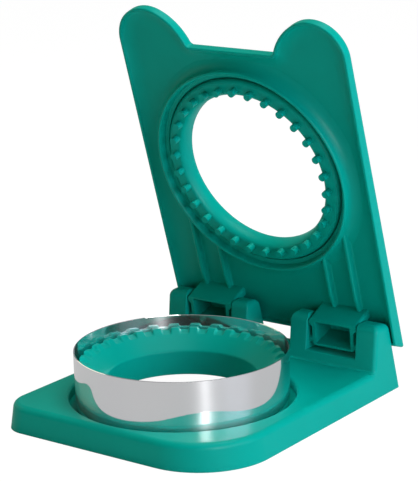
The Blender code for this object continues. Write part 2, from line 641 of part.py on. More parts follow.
# The lid's outlines have x across and y away from the axis, which is towards -Y when closed
LID_FACE = Matrix(((1, 0, 0, 0), (0, -1, 0, 0), (0, 0, -1, 0), (0, 0, 0, 1)))
LID_SIDE = Matrix(((0, 0, 1, 0), (-1, 0, 0, 0), (0, 1, 0, 0), (0, 0, 0, 1)))


def knuckle_outline(wall, past):
    """Side view of a knuckle, drawn in by wall, its mouth moved past the edge."""
    mouth = Vector((KNUCKLE_TOP_REACH - KNUCKLE_FOOT_REACH, KNUCKLE_TOP_LEVEL - KNUCKLE_FOOT_LEVEL))
    fall = mouth.y / mouth.x
    top = KNUCKLE_TOP_REACH - wall
    foot = KNUCKLE_FOOT_REACH + wall
    ceiling = LID_FLOOR + LID_SKIN / 2 if wall == 0 else KNUCKLE_CEILING
    rise = (ceiling - KNUCKLE_TOP_LEVEL) / (LID_FLOOR - KNUCKLE_TOP_LEVEL)
    top_level = KNUCKLE_TOP_LEVEL + (top - KNUCKLE_TOP_REACH) * fall
    foot_level = KNUCKLE_TOP_LEVEL + (foot - KNUCKLE_TOP_REACH) * fall
    tail = -LID_TAIL + wall + 0.2 * MM
    points = [(top, top_level - past)]
    if wall == 0:
        points += arc((foot + KNUCKLE_CORNER, foot_level + KNUCKLE_CORNER), KNUCKLE_CORNER, 270.0, 180.0)
    else:
        points.append((foot, foot_level - past))
    points += [(tail, ceiling), (top + KNUCKLE_FLARE * rise, ceiling)]
    return points


def make_tray(group):
    """What hollows the lid's inside: its wall runs into the floor with a fillet."""
    stations = [(LID_RIM_WIDTH, LID_RIM_LEVEL - PAST)]
    fillet = arc((LID_RIM_WIDTH + LID_TRAY_ROUND, LID_FLOOR - LID_TRAY_ROUND), LID_TRAY_ROUND, 180.0, 90.0)
    stations += [(inset, level) for inset, level in fillet[::LID_TRAY_FACETS]]
    return loft("lid_tray", [(lid_outline(inset), -level) for inset, level in stations], LID_FACE, group)


def make_lid_plate(parts, guides):
    """The lid in its closed frame: the hinge axis is the origin's X axis."""
    levels = (LID_RIM_LEVEL, LID_OUTSIDE + PAST)
    body = loft("lid_plate", [(lid_outline(0.0, level), -level) for level in levels], LID_FACE, parts)
    ends = (-TAIL_OUTSIDE - 2 * PAST, LID_NOTCH_REACH + 2 * GRIP_SHOULDER_RADIUS)
    taper = [(reach, LID_OUTSIDE + (HINGE_REACH - reach) * LID_FALL) for reach in ends]
    taper += [(ends[1], LID_OUTSIDE + 2 * PAST), (ends[0], LID_OUTSIDE + 2 * PAST)]
    wide = LID_WIDTH / 2 + PAST
    cut(body, make_tray(guides), slab("lid_taper", taper, -wide, wide, LID_SIDE, guides))
    centre = (0, -HINGE_REACH, 0)
    outside = COLLAR_INSIDE + COLLAR_WALL
    sunk = LID_FLOOR + LID_SKIN / 2
    hub_inside = PEG_RING_SPIGOT - PEG_RING_SHOULDER
    collar = [(hub_inside, sunk), (outside + COLLAR_FLARE, sunk), (outside + COLLAR_FLARE, LID_FLOOR),
              (outside + COLLAR_FLARE * 0.4, LID_FLOOR - COLLAR_FLARE * 0.15),
              (outside + COLLAR_FLARE * 0.1, LID_FLOOR - COLLAR_FLARE * 0.45),
              (outside, COLLAR_LEVEL + 0.6 * MM), (outside - 0.6 * MM, COLLAR_LEVEL),
              (hub_inside, COLLAR_LEVEL)]
    join(body, turned("collar", collar, centre, guides))
    for side, sign in SIDES:
        for number, offset in enumerate(RIB_OFFSETS, 1):
            chord = math.sqrt((outside - COLLAR_WALL / 2) ** 2 - offset ** 2)
            rib = [(KNUCKLE_TOP_REACH, sunk), (KNUCKLE_TOP_REACH, RIB_LEVEL + RIB_WIDTH),
                   (KNUCKLE_TOP_REACH + 3 * RIB_WIDTH, RIB_LEVEL), (HINGE_REACH - chord, RIB_LEVEL),
                   (HINGE_REACH - chord, sunk)]
            middle = sign * offset
            join(body, slab(f"rib_{side}_{number}", rib, middle - RIB_WIDTH / 2, middle + RIB_WIDTH / 2,
                            LID_SIDE, guides))
        add_knuckle(body, side, sign, guides)
    peg_seat = PEG_RING_RADIUS + SEAT_GAP
    spot = PEG_RING_SPIGOT + PEG_RING_BARB + SEAT_GAP
    bore = [(0.0, LID_OUTSIDE + PAST), (spot, LID_OUTSIDE + PAST), (spot, LID_FLOOR + PEG_RING_SEAT),
            (PEG_RING_SPIGOT + SEAT_GAP, LID_FLOOR + PEG_RING_SEAT),
            (PEG_RING_SPIGOT + SEAT_GAP, LID_FLOOR), (peg_seat, LID_FLOOR), (peg_seat, CHANNEL_LEVEL),
            (COLLAR_INSIDE - 0.3 * MM, CHANNEL_LEVEL), (COLLAR_INSIDE + 0.3 * MM, COLLAR_LEVEL - 0.5 * MM),
            (COLLAR_INSIDE + 0.3 * MM, COLLAR_LEVEL - PAST), (0.0, COLLAR_LEVEL - PAST)]
    cut(body, turned("lid_bore", bore, centre, guides, closed=False))
    return body


def add_knuckle(body, side, sign, guides):
    ends = sorted((sign * KNUCKLE_INNER_X, sign * KNUCKLE_OUTER_X))
    join(body, slab(f"knuckle_{side}", knuckle_outline(0.0, 0.0), ends[0], ends[1], LID_SIDE, guides))
    roof = sorted((sign * (SLOT_INNER_X + SEAT_GAP), sign * (SLOT_OUTER_X - SEAT_GAP)))
    low = LID_FLOOR + LID_SKIN / 3
    rise = KNUCKLE_FLARE * (low - KNUCKLE_TOP_LEVEL) / (LID_FLOOR - KNUCKLE_TOP_LEVEL)
    top = KNUCKLE_TOP_REACH + 0.05 * MM
    sheet = [(top - KNUCKLE_WALL, KNUCKLE_TOP_LEVEL), (top - KNUCKLE_WALL + rise, low), (top + rise, low),
             (top, KNUCKLE_TOP_LEVEL)]
    join(body, slab(f"knuckle_roof_{side}", sheet, roof[0], roof[1], LID_SIDE, guides))
    for place, edge, way in (("inner", KNUCKLE_INNER_X, -1), ("outer", KNUCKLE_OUTER_X, 1)):
        near = edge - way * KNUCKLE_SIDE_WALL / 2
        far = edge + way * LUG_LENGTH
        join(body, rod(f"lug_{side}_{place}", LUG_RADIUS, (sign * near, -LUG_REACH, LUG_LEVEL),
                       (sign * far, -LUG_REACH, LUG_LEVEL), 12, guides))
    inside = sorted((sign * (KNUCKLE_INNER_X + KNUCKLE_SIDE_WALL),
                     sign * (KNUCKLE_OUTER_X - KNUCKLE_SIDE_WALL)))
    cut(body, slab(f"knuckle_hollow_{side}", knuckle_outline(KNUCKLE_WALL, PAST), inside[0], inside[1],
                   LID_SIDE, guides))
    holes = sorted((sign * (SLOT_INNER_X + SEAT_GAP / 2), sign * (SLOT_OUTER_X - SEAT_GAP / 2)))
    cut(body, rod(f"pin_bore_{side}", PIN_HOLE, (holes[0], 0, 0), (holes[1], 0, 0), 16, guides))


def make_upper_sealing_ring(parts, guides):
    """The pegged ring, in the lid's closed frame."""
    top = LID_OUTSIDE + PEG_RING_PROUD
    seat = LID_FLOOR - SEAT_GAP
    edge = 0.6 * MM
    barb = PEG_RING_SPIGOT + PEG_RING_BARB
    barb_level = LID_FLOOR + PEG_RING_SEAT + SEAT_GAP
    profile = [(LID_BORE_RADIUS + edge, top), (PEG_RING_SPIGOT, top), (barb, top - PEG_RING_PROUD * 0.3),
               (barb, barb_level), (PEG_RING_SPIGOT, barb_level),
               (PEG_RING_SPIGOT, seat), (PEG_RING_RADIUS, seat), (PEG_RING_RADIUS, PEG_RING_LEVEL),
               (PEG_RING_RADIUS - edge, PEG_RING_LEVEL), (LID_BORE_RADIUS + edge, PEG_RING_LEVEL + edge),
               (LID_BORE_RADIUS, PEG_RING_LEVEL + 2 * edge), (LID_BORE_RADIUS, top - edge)]
    ring = turned("upper_sealing_ring", profile, (0, -HINGE_REACH, 0), parts)
    for number in range(PEG_COUNT):
        turn = 2 * math.pi * (number + 0.5) / PEG_COUNT
        x = PEG_CIRCLE * math.cos(turn)
        y = -HINGE_REACH + PEG_CIRCLE * math.sin(turn)
        root = PEG_RING_LEVEL + 3 * edge
        join(ring, peg(f"peg_{number + 1:02}", (x, y, root), guides))
    return ring


def peg(name, root, group):
    """A round-tipped peg that points from its root towards the base."""
    tip = PEG_RING_LEVEL - PEG_HEIGHT + PEG_RADIUS / 2
    item = rod(name, PEG_RADIUS, root, (root[0], root[1], tip), 8, group)
    work = bmesh.new()
    work.from_mesh(item.data)
    end = max(vert.co.z for vert in work.verts)
    rim = [edge for edge in work.edges if all(vert.co.z > end - 0.01 * MM for vert in edge.verts)]
    bmesh.ops.bevel(work, geom=rim, offset=PEG_RADIUS * 0.5, segments=1, profile=0.5, affect="EDGES")
    work.to_mesh(item.data)
    work.free()
    return item


def make_hinge_pins(parts):
    """Four short pins, each from a knuckle wall into the socket of the ear beside it."""
    made = []
    for side, sign in SIDES:
        spans = {"inner": (SLOT_INNER_X - PIN_SOCKET + SEAT_GAP, KNUCKLE_INNER_X + KNUCKLE_SIDE_WALL),
                 "outer": (KNUCKLE_OUTER_X - KNUCKLE_SIDE_WALL, SLOT_OUTER_X + PIN_SOCKET - SEAT_GAP)}
        for place, (near, far) in spans.items():
            made.append(rod(f"hinge_pin_{side}_{place}", PIN_RADIUS, (sign * near, HINGE_Y, HINGE_HEIGHT),
                            (sign * far, HINGE_Y, HINGE_HEIGHT), 16, parts))
    return made


def main():
    clear_scene()
    parts = new_collection("sandwich_cutter_and_sealer")
    guides = new_collection("guides")
    green = plastic("teal_plastic", (0.0, 0.36, 0.28), 0.38)
    ring_green = plastic("teal_plastic_rings", (0.0, 0.38, 0.30), 0.32)
    steel = finish("polished_steel", (0.82, 0.83, 0.84), 0.08, 1.0)
    pin_steel = finish("bright_pin_steel", (0.72, 0.73, 0.74), 0.25, 1.0)
    screw_steel = finish("plated_screw_steel", (0.60, 0.61, 0.62), 0.35, 1.0)

    base = make_base_plate(parts, guides)
    lower = make_lower_sealing_ring(parts, guides)
    cutter = make_cutter_ring(parts)
    lid = make_lid_plate(parts, guides)
    upper = make_upper_sealing_ring(parts, guides)
    pins = make_hinge_pins(parts)
    screws = make_screws(parts)

    for item in (lid, upper):
        freeze(item)
    axis = mesh_object("lid_hinge_axis", None, parts)
    axis.location = (0, HINGE_Y, HINGE_HEIGHT)
    axis.rotation_euler = (math.radians(-OPEN_ANGLE), 0, 0)
    for item in (lid, upper):
        item.parent = axis

    for item, material in ((base, green), (lid, green), (lower, ring_green), (upper, ring_green),
                           (cutter, steel)):
        item.data.materials.append(material)
    for item in pins:
        item.data.materials.append(pin_steel)
    for item in screws:
        item.data.materials.append(screw_steel)
    for item in (base, lid, lower, upper, cutter, *pins, *screws):
        round_shading(item)
    for guide in guides.objects:
        guide.hide_render = True
        guide.display_type = "WIRE"


main()
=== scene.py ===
# %% [markdown]
# # A hinged sandwich cutter and sealer
# This lesson dresses a small kitchen press: a moulded base with a polished steel ring, and a lid that
# swings over it. A slice of bread with its filling lies over the ring, the lid comes down, the steel cuts
# out a round pocket, and two toothed plastic rings press its edge shut.
# The solids come from a CAD model, and nothing here moves or resizes them. Each piece below is drawn
# again with finer curves and softer edges, in the same place, and rides on the same body.

import json
import math

import bmesh
import bpy
from mathutils import Matrix, Vector


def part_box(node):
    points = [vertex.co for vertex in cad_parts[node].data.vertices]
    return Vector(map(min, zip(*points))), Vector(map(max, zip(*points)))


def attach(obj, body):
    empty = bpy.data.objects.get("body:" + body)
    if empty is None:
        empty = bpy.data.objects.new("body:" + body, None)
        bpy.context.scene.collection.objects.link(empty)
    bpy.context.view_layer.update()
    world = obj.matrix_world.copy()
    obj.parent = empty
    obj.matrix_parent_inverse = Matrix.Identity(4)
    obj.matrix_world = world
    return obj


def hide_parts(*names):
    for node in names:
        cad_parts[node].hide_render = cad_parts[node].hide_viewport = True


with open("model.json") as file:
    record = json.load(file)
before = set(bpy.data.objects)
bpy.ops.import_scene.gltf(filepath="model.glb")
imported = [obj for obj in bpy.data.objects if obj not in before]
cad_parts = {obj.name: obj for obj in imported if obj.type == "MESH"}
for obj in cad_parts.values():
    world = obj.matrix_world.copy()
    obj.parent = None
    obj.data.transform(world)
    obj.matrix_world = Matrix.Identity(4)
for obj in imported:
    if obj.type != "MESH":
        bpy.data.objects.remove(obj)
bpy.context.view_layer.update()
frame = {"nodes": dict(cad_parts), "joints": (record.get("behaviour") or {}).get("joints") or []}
MM = 0.001

# %% [markdown]
# ## Sizes
# Most sizes are read from the boxes of the CAD nodes, so the pieces land where the solids are. They could be
# typed in again, but then a new CAD size would be missed. The rest are the thicknesses and fillets that a box
# can't tell. Each is written once, in the cell that first needs it, and used by name.

# %% Sizes read from the frame
base_low, base_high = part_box("base_plate")
steel_low, steel_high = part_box("cutter_ring")
hub_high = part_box("lower_sealing_ring")[1]
hinge = frame["joints"][0]
HINGE_Y, HINGE_Z = hinge["pos_m"][1:]
OPEN_ANGLE = max(hinge["range_deg"])
LEAN = math.radians(90.0 - OPEN_ANGLE)
HALF_WIDTH = base_high.x
FRONT_Y, REAR_Y = base_low.y, base_high.y
EAR_TOP = base_high.z
RING_RADIUS = steel_high.x
RING_Y = (steel_low.y + steel_high.y) / 2
RING_SEAT, RING_TOP = steel_low.z, steel_high.z
HUB_RADIUS, HUB_TOP = hub_high.x, hub_high.z
HINGE_REACH = HINGE_Y - RING_Y
print(f"ring {2 * RING_RADIUS / MM:.1f} mm across, hinge {HINGE_REACH / MM:.1f} mm behind its centre")

# %% [markdown]
# ## Tools for drawing
# Moulded parts are made of three kinds of form: a flat outline given thickness, a profile spun round an
# axis, and a skin drawn over a row of outlines. Three small functions make them as plain meshes. A fourth
# joins or cuts them with an exact Boolean and works the result in at once, so that no hidden cutter stays.

# %% Outlines and solids
ARC_STEP = 4.0
TURN_STEPS = 180


def arc(centre, radius, start, end, steps=None):
    """Points of an arc, in degrees, both ends included."""
    steps = steps or max(2, math.ceil(abs(end - start) / ARC_STEP))
    turns = [math.radians(start + (end - start) * i / steps) for i in range(steps + 1)]
    return [(round(centre[0] + radius * math.cos(t), 9), round(centre[1] + radius * math.sin(t), 9))
            for t in turns]


def new_object(name, data):
    item = bpy.data.objects.new(name, data)
    bpy.context.scene.collection.objects.link(item)
    return item


def skin(name, rings, turn=Matrix.Identity(4)):
    """A closed skin over rings of points with equal counts, capped at both ends."""
    work = bmesh.new()
    rows = [[work.verts.new(point) for point in ring] for ring in rings]
    for row, following in zip(rows, rows[1:]):
        for i in range(len(row)):
            work.faces.new((row[i - 1], row[i], following[i], following[i - 1]))
    caps = [work.faces.new(rows[0]), work.faces.new(rows[-1])]
    work.normal_update()
    bmesh.ops.triangulate(work, faces=caps)
    bmesh.ops.transform(work, matrix=turn, verts=work.verts)
    bmesh.ops.recalc_face_normals(work, faces=work.faces)
    mesh = bpy.data.meshes.new(name)
    work.to_mesh(mesh)
    work.free()
    return new_object(name, mesh)


def plate(name, outline, low, high, turn=Matrix.Identity(4)):
    """A flat outline given thickness from low to high, then turned into place."""
    return skin(name, [[(x, y, level) for x, y in outline] for level in (low, high)], turn)


def spun(name, profile, centre=(0.0, 0.0, 0.0), steps=TURN_STEPS):
    """A closed profile of (radius, height) spun round an upright axis; points on the axis are merged."""
    work = bmesh.new()
    columns = []
    for i in range(steps):
        turn = 2 * math.pi * i / steps
        columns.append([work.verts.new((r * math.cos(turn), r * math.sin(turn), z)) for r, z in profile])
    for i in range(steps):
        here, after = columns[i - 1], columns[i]
        for j in range(len(profile)):
            if profile[j - 1][0] > 0 or profile[j][0] > 0:
                work.faces.new((here[j - 1], here[j], after[j], after[j - 1]))
    bmesh.ops.remove_doubles(work, verts=work.verts, dist=1e-7)
    bmesh.ops.translate(work, vec=centre, verts=work.verts)
    bmesh.ops.recalc_face_normals(work, faces=work.faces)
    mesh = bpy.data.meshes.new(name)
    work.to_mesh(mesh)
    work.free()
    return new_object(name, mesh)


# %% Joining and cutting
def settle(item):
    """Works an object's modifiers and place into its own mesh."""
    bpy.context.view_layer.update()
    graph = bpy.context.evaluated_depsgraph_get()
    mesh = bpy.data.meshes.new_from_object(item.evaluated_get(graph))
    item.modifiers.clear()
    mesh.transform(item.matrix_world)
    item.matrix_world = Matrix.Identity(4)
    item.data = mesh


def combine(part, tools, operation):
    for tool in tools:
        step = part.modifiers.new(tool.name, "BOOLEAN")
        step.operation = operation
        step.solver = "EXACT"
        step.object = tool
    settle(part)
    for tool in tools:
        bpy.data.objects.remove(tool)


def cut(part, *tools):
    combine(part, tools, "DIFFERENCE")


def join(part, *tools):
    combine(part, tools, "UNION")


def smooth(item, angle=32.0):
    """Merges stray points and shades the surface smoothly between its sharp edges."""
    work = bmesh.new()
    work.from_mesh(item.data)
    bmesh.ops.remove_doubles(work, verts=work.verts, dist=1e-6)
    bmesh.ops.dissolve_degenerate(work, edges=work.edges, dist=1e-6)
    open_edges = sum(1 for edge in work.edges if len(edge.link_faces) != 2)
    work.to_mesh(item.data)
    work.free()
    item.data.shade_smooth()
    item.data.set_sharp_from_angle(angle=math.radians(angle))
    weigh = item.modifiers.new("Even shading", "WEIGHTED_NORMAL")
    weigh.keep_sharp = True
    settle(item)
    item.data.calc_loop_triangles()
    print(f"{item.name}: {len(item.data.loop_triangles)} triangles, {open_edges} open edges")


# %% [markdown]
# ## The camera
# The view follows the photograph: about 77 cm from the object, from the front right and a little above. The
# place and turn come from a pinhole camera fitted to the object's own known edges, so the camera is written
# as a place, three angles and a focal length in pixels of the picture.

# %% Camera
PICTURE_HEIGHT = 482
FOCAL_PIXELS = 1966.73
CAMERA_PLACE = (0.44788, -0.59572, 0.26952)
CAMERA_YAW, CAMERA_PITCH, CAMERA_ROLL = (math.radians(a) for a in (36.717, 15.065, -1.411))
camera_data = bpy.data.cameras.new("Camera")
camera_data.sensor_fit = "VERTICAL"
camera_data.sensor_height = 36.0
camera_data.lens = FOCAL_PIXELS / PICTURE_HEIGHT * camera_data.sensor_height
camera = new_object("Camera", camera_data)
forward = Vector((-math.sin(CAMERA_YAW) * math.cos(CAMERA_PITCH),
                  math.cos(CAMERA_YAW) * math.cos(CAMERA_PITCH), -math.sin(CAMERA_PITCH)))
level_right = Vector((math.cos(CAMERA_YAW), math.sin(CAMERA_YAW), 0.0))
level_up = level_right.cross(forward)
right = level_right * math.cos(CAMERA_ROLL) + level_up * math.sin(CAMERA_ROLL)
up = level_up * math.cos(CAMERA_ROLL) - level_right * math.sin(CAMERA_ROLL)
turn = Matrix((right, up, -forward)).transposed().to_4x4()
camera.matrix_world = Matrix.Translation(CAMERA_PLACE) @ turn
camera_data.clip_start, camera_data.clip_end = 0.05, 10.0
bpy.context.scene.camera = camera
print(f"lens {camera_data.lens:.1f} mm")

# %% [markdown]
# ## Wiring nodes by writing sums
# A material or a Geometry Nodes tree is easier to read as arithmetic than as a page of links. The small
# class below wraps a socket, so that a sum or product in Python adds a Math node. Every other node comes
# from one method that takes its type, its settings and what its sockets get, and two short forms put a
# vector together and take it apart.

# %% Sockets with arithmetic
class Flow:
    """A socket whose sums and products become Math nodes of its tree."""

    def __init__(self, graph, socket):
        self.graph = graph
        self.socket = socket

    def maths(self, operation, *others):
        return self.graph.add("ShaderNodeMath", {"operation": operation},
                              dict(enumerate((self, *others))))[0]

    def __add__(self, other):
        return self.maths("ADD", other)

    def __sub__(self, other):
        return self.maths("SUBTRACT", other)

    def __mul__(self, other):
        return self.maths("MULTIPLY", other)

    def __truediv__(self, other):
        return self.maths("DIVIDE", other)

    def __rsub__(self, other):
        return self.graph.add("ShaderNodeMath", {"operation": "SUBTRACT"}, {0: other, 1: self})[0]

    def __rtruediv__(self, other):
        return self.graph.add("ShaderNodeMath", {"operation": "DIVIDE"}, {0: other, 1: self})[0]

    __radd__ = __add__
    __rmul__ = __mul__


class Graph:
    """Adds nodes to one tree."""

    def __init__(self, tree):
        self.tree = tree

    def add(self, kind, settings=None, sockets=None):
        node = self.tree.nodes.new(kind)
        for name, value in (settings or {}).items():
            setattr(node, name, value)
        for key, value in (sockets or {}).items():
            socket = node.inputs[key]
            if isinstance(value, Flow):
                self.tree.links.new(value.socket, socket)
            else:
                socket.default_value = value
        return Outputs(self, node)

    def vector(self, x=0.0, y=0.0, z=0.0):
        return self.add("ShaderNodeCombineXYZ", None, {0: x, 1: y, 2: z})[0]

    def axes(self, vector):
        return self.add("ShaderNodeSeparateXYZ", None, {0: vector})


class Outputs:
    """A node's outputs, by name or number."""

    def __init__(self, graph, node):
        self.graph = graph
        self.node = node

    def __getitem__(self, key):
        return Flow(self.graph, self.node.outputs[key])


# %% [markdown]
# ## The green plastic
# The press is moulded in one teal green plastic with a satin skin. Real mouldings aren't one flat colour:
# the pigment drifts a little where the plastic flowed, the skin has a fine grain, and handling leaves faint
# rubbed patches. Three noises at three scales give that. They read Object coordinates, so nothing slides.

# %% Plastic
def new_material(name):
    material = bpy.data.materials.new(name)
    material.use_nodes = True
    material.node_tree.nodes.clear()
    return material, Graph(material.node_tree)


def close_material(graph, shader):
    out = graph.add("ShaderNodeOutputMaterial")
    graph.tree.links.new(shader[0].socket, out.node.inputs["Surface"])


def noise(graph, place, scale, detail=2.0):
    return graph.add("ShaderNodeTexNoise", None, {"Vector": place, "Scale": scale, "Detail": detail})[0]


def blend_colours(graph, share, first, second):
    return graph.add("ShaderNodeMix", {"data_type": "RGBA"}, {
        0: share, 6: (*first, 1.0), 7: (*second, 1.0)})[2]


def moulded_plastic(name, deep, pale, gloss):
    """Satin plastic: two near greens, a fine grain and rubbed patches."""
    material, graph = new_material(name)
    place = graph.add("ShaderNodeTexCoord")["Object"]
    drift = noise(graph, place, 38.0, 3.0)
    rubbed = noise(graph, place, 160.0, 5.0)
    grain = noise(graph, place, 2600.0, 2.0)
    colour = blend_colours(graph, drift * 0.7 + rubbed * 0.3, deep, pale)
    roughness = gloss + rubbed * 0.10 + grain * 0.04
    bump = graph.add("ShaderNodeBump", None, {
        "Strength": 0.10, "Distance": 0.00006, "Height": grain + rubbed * 0.8})["Normal"]
    shader = graph.add("ShaderNodeBsdfPrincipled", None, {
        "Base Color": colour, "Roughness": roughness, "Normal": bump, "IOR": 1.49,
        "Specular IOR Level": 0.06})
    close_material(graph, shader)
    return material


body_green = moulded_plastic("teal_moulded_plastic", (0.0, 0.330, 0.258), (0.0, 0.370, 0.296), 0.30)
ring_green = moulded_plastic("teal_ring_plastic", (0.0, 0.335, 0.264), (0.0, 0.385, 0.312), 0.30)
print("materials:", body_green.name, ring_green.name)

# %% [markdown]
# ## The polished steel
# The cutting ring is thin stainless strip, polished until it mirrors. Rolling and polishing leave very fine
# lines along the strip and a few faint smears, so the roughness follows a noise that is stretched along the
# ring and squeezed in height. The pins and screws share the recipe with a duller polish.

# %% Steel
def polished_metal(name, colour, gloss, line_scale, line_depth, brushed_share):
    material, graph = new_material(name)
    place = graph.add("ShaderNodeTexCoord")["Object"]
    along = graph.add("ShaderNodeMapping", None, {"Vector": place, "Scale": (0.02, 0.02, 1.0)})[0]
    lines = noise(graph, along, line_scale, 3.0)
    smears = noise(graph, place, 55.0, 4.0)
    tone = blend_colours(graph, smears, [c * 0.97 for c in colour], colour)
    roughness = gloss + lines * 0.03 + smears * 0.03
    bump = graph.add("ShaderNodeBump", None, {
        "Strength": line_depth, "Distance": 0.00001, "Height": lines})["Normal"]
    mirror = graph.add("ShaderNodeBsdfPrincipled", None, {
        "Base Color": tone, "Metallic": 1.0, "Roughness": roughness, "Normal": bump})
    brushed = graph.add("ShaderNodeBsdfPrincipled", None, {
        "Base Color": tone, "Metallic": 1.0, "Roughness": roughness + 0.33, "Normal": bump,
        "Anisotropic": 0.9, "Anisotropic Rotation": 0.25})
    shader = graph.add("ShaderNodeMixShader", None, {
        0: brushed_share + smears * 0.04, 1: mirror[0], 2: brushed[0]})
    close_material(graph, shader)
    return material


ring_steel = polished_metal("polished_stainless", (0.82, 0.82, 0.84), 0.02, 4200.0, 0.05, 0.10)
pin_steel = polished_metal("bright_pin_steel", (0.62, 0.63, 0.64), 0.18, 6000.0, 0.10, 0.3)
screw_steel = polished_metal("plated_screw_steel", (0.55, 0.56, 0.57), 0.28, 3000.0, 0.12, 0.4)
print("metals:", ring_steel.name, pin_steel.name, screw_steel.name)

# %% [markdown]
# ## The base
# The base is one shell: a low plate with two different front corners, two slotted brackets at the back, and
# a round well for the steel ring. Plate and brackets are skins over level outlines, so their soft top edges
# are true arcs. A Bevel modifier could round them too, but the outlines also give the walls their draft and
# the brackets their flared foot. The slots, the well and the hollow underside are cut afterwards.

# %% Plate
LEFT_CORNER, RIGHT_CORNER = 12.0 * MM, 29.0 * MM
BASE_HEIGHT, BASE_ROUND, BASE_DRAFT = 11.0 * MM, 2.6 * MM, 0.8 * MM
EAR_BACK, EAR_RISE = 4.4 * MM, 3.0 * MM
PAST = 5.0 * MM
# Outline x runs along +Y and outline y up; the thickness runs along +X
SIDE_VIEW = Matrix(((0, 0, 1, 0), (1, 0, 0, 0), (0, 1, 0, 0), (0, 0, 0, 1)))


def base_outline(inset, rear_inset):
    """The base seen from above, drawn in by inset, and by rear_inset at the back.

    A negative inset flares the sides at the foot: most at the front corners, of which the small left one is
    rounded less, and not at all at the back. The front line stays in place.
    """
    half = HALF_WIDTH - inset
    front = FRONT_Y + max(inset, 0.0)
    right_round = RIGHT_CORNER - inset
    left_round = LEFT_CORNER - max(inset, -2 * inset)
    points = arc((half - right_round, front + right_round), right_round, -90.0, 0.0)
    rear_half = HALF_WIDTH - max(inset, 0.0)
    points += [(rear_half, REAR_Y - rear_inset), (-rear_half, REAR_Y - rear_inset)]
    points += arc((left_round - half, front + left_round), left_round, 180.0, 270.0)
    return points


def rear_at(height):
    """The brackets' back: a slant from the ground, and the ears' rounding over the hinge."""
    if height <= HINGE_Z + EAR_RISE * math.sin(LEAN):
        return REAR_Y - height * math.tan(LEAN)
    centre = HINGE_Y + (EAR_BACK - EAR_RISE) / math.cos(LEAN)
    return centre + math.sqrt(max(EAR_RISE ** 2 - (height - HINGE_Z) ** 2, 0.0))


flank = BASE_HEIGHT - BASE_ROUND
levels = [(-BASE_DRAFT, 0.0), (0.0, flank)] + arc((BASE_ROUND, flank), BASE_ROUND, 180.0, 90.0, 9)[1:]
STEP_IN = 0.04 * MM
base = skin("base", [[(x, y, height) for x, y in base_outline(inset, height * math.tan(LEAN) + STEP_IN)]
                     for inset, height in levels])
print(f"plate of {len(levels)} outlines, edge round {BASE_ROUND / MM:.1f} mm")

# %% Brackets
EAR_FRONT, EAR_FOOT_FRONT, EAR_FOOT_ROUND = 4.1 * MM, 6.1 * MM, 1.2 * MM
EAR_INNER_WIDTH, EAR_OUTER_WIDTH, SLOT_WIDTH = 8.4 * MM, 9.9 * MM, 23.6 * MM
EAR_CORNER, EAR_OUTER_CORNER, EAR_CROWN = 2.5 * MM, 3.2 * MM, 2.6 * MM
BRACKET_ROUND, BRACKET_INNER_ROUND = 1.8 * MM, 0.9 * MM
ROUND_LOSS, INNER_ROUND_LOSS = 1.2 * MM, 0.5 * MM
SLOT_DEPTH, SLOT_MOUTH = 14.6 * MM, 0.6 * MM
SLOT_START, SLOT_END = -2.0 * MM, 30.0 * MM
BASE_TOP = 3.0 * MM
SLOT_FLOOR = EAR_TOP - SLOT_DEPTH
SLOT_OUTER_X = HALF_WIDTH - EAR_OUTER_WIDTH
SLOT_INNER_X = SLOT_OUTER_X - SLOT_WIDTH
EAR_INNER_X = SLOT_INNER_X - EAR_INNER_WIDTH
hollow_top = BASE_HEIGHT - BASE_TOP
SIDES = (("left", -1), ("right", 1))


def angles(step, *numbers):
    """Angles in radians: a step in degrees times each number of a range."""
    return [math.radians(step * k) for k in range(*numbers)]


def front_at(height):
    """The brackets' sloping front face."""
    share = (EAR_TOP - height) / (EAR_TOP - BASE_HEIGHT)
    return HINGE_Y - EAR_FRONT - (EAR_FOOT_FRONT - EAR_FRONT) * share


def bracket_ring(sign, height, forward=0.0, lift=0.0):
    """A bracket's outline at one height; lift runs from 0 on the walls to 90 degrees on the crown."""
    roll = 1 - math.cos(math.radians(lift))
    outer = HALF_WIDTH - EAR_OUTER_CORNER * roll
    inner = EAR_INNER_X + EAR_CORNER * roll
    front = front_at(height) - forward + EAR_CROWN * roll
    outer_round = BRACKET_ROUND - ROUND_LOSS * roll
    inner_round = BRACKET_INNER_ROUND - INNER_ROUND_LOSS * roll
    points = arc((inner + inner_round, front + inner_round), inner_round, 180.0, 270.0, 6)
    points += arc((outer - outer_round, front + outer_round), outer_round, 270.0, 360.0, 10)
    points += [(outer, rear_at(height)), (inner, rear_at(height))]
    return [(sign * x, y, height) for x, y in points]


def bracket(name, sign):
    foot = [(BASE_HEIGHT + EAR_FOOT_ROUND * (1 - math.sin(t)), EAR_FOOT_ROUND * (1 - math.cos(t)))
            for t in angles(15.0, 5, -1, -1)]
    foot.insert(0, (BASE_HEIGHT - 0.1 * EAR_FOOT_ROUND, 1.24 * EAR_FOOT_ROUND))
    rings = [bracket_ring(sign, hollow_top / 2, foot[0][1])]
    rings += [bracket_ring(sign, height, forward) for height, forward in foot]
    shoulder = EAR_TOP - EAR_OUTER_CORNER
    rings += [bracket_ring(sign, shoulder + EAR_OUTER_CORNER * math.sin(math.radians(lift)), 0.0, lift)
              for lift in range(0, 91, 9)]
    return skin(name, rings)


def ear_gap(inner, outer, floor):
    """Front view of a gap between ears, flared round at the ears' top corners."""
    crown = EAR_TOP - EAR_CORNER * 0.85
    points = [(inner, floor), (outer, floor)]
    points += arc((outer + EAR_CORNER, crown), EAR_CORNER, 180.0, 90.0)
    points += [(outer + EAR_CORNER, EAR_TOP + PAST), (inner - EAR_CORNER, EAR_TOP + PAST)]
    points += arc((inner - EAR_CORNER, crown), EAR_CORNER, 90.0, 0.0)
    return points


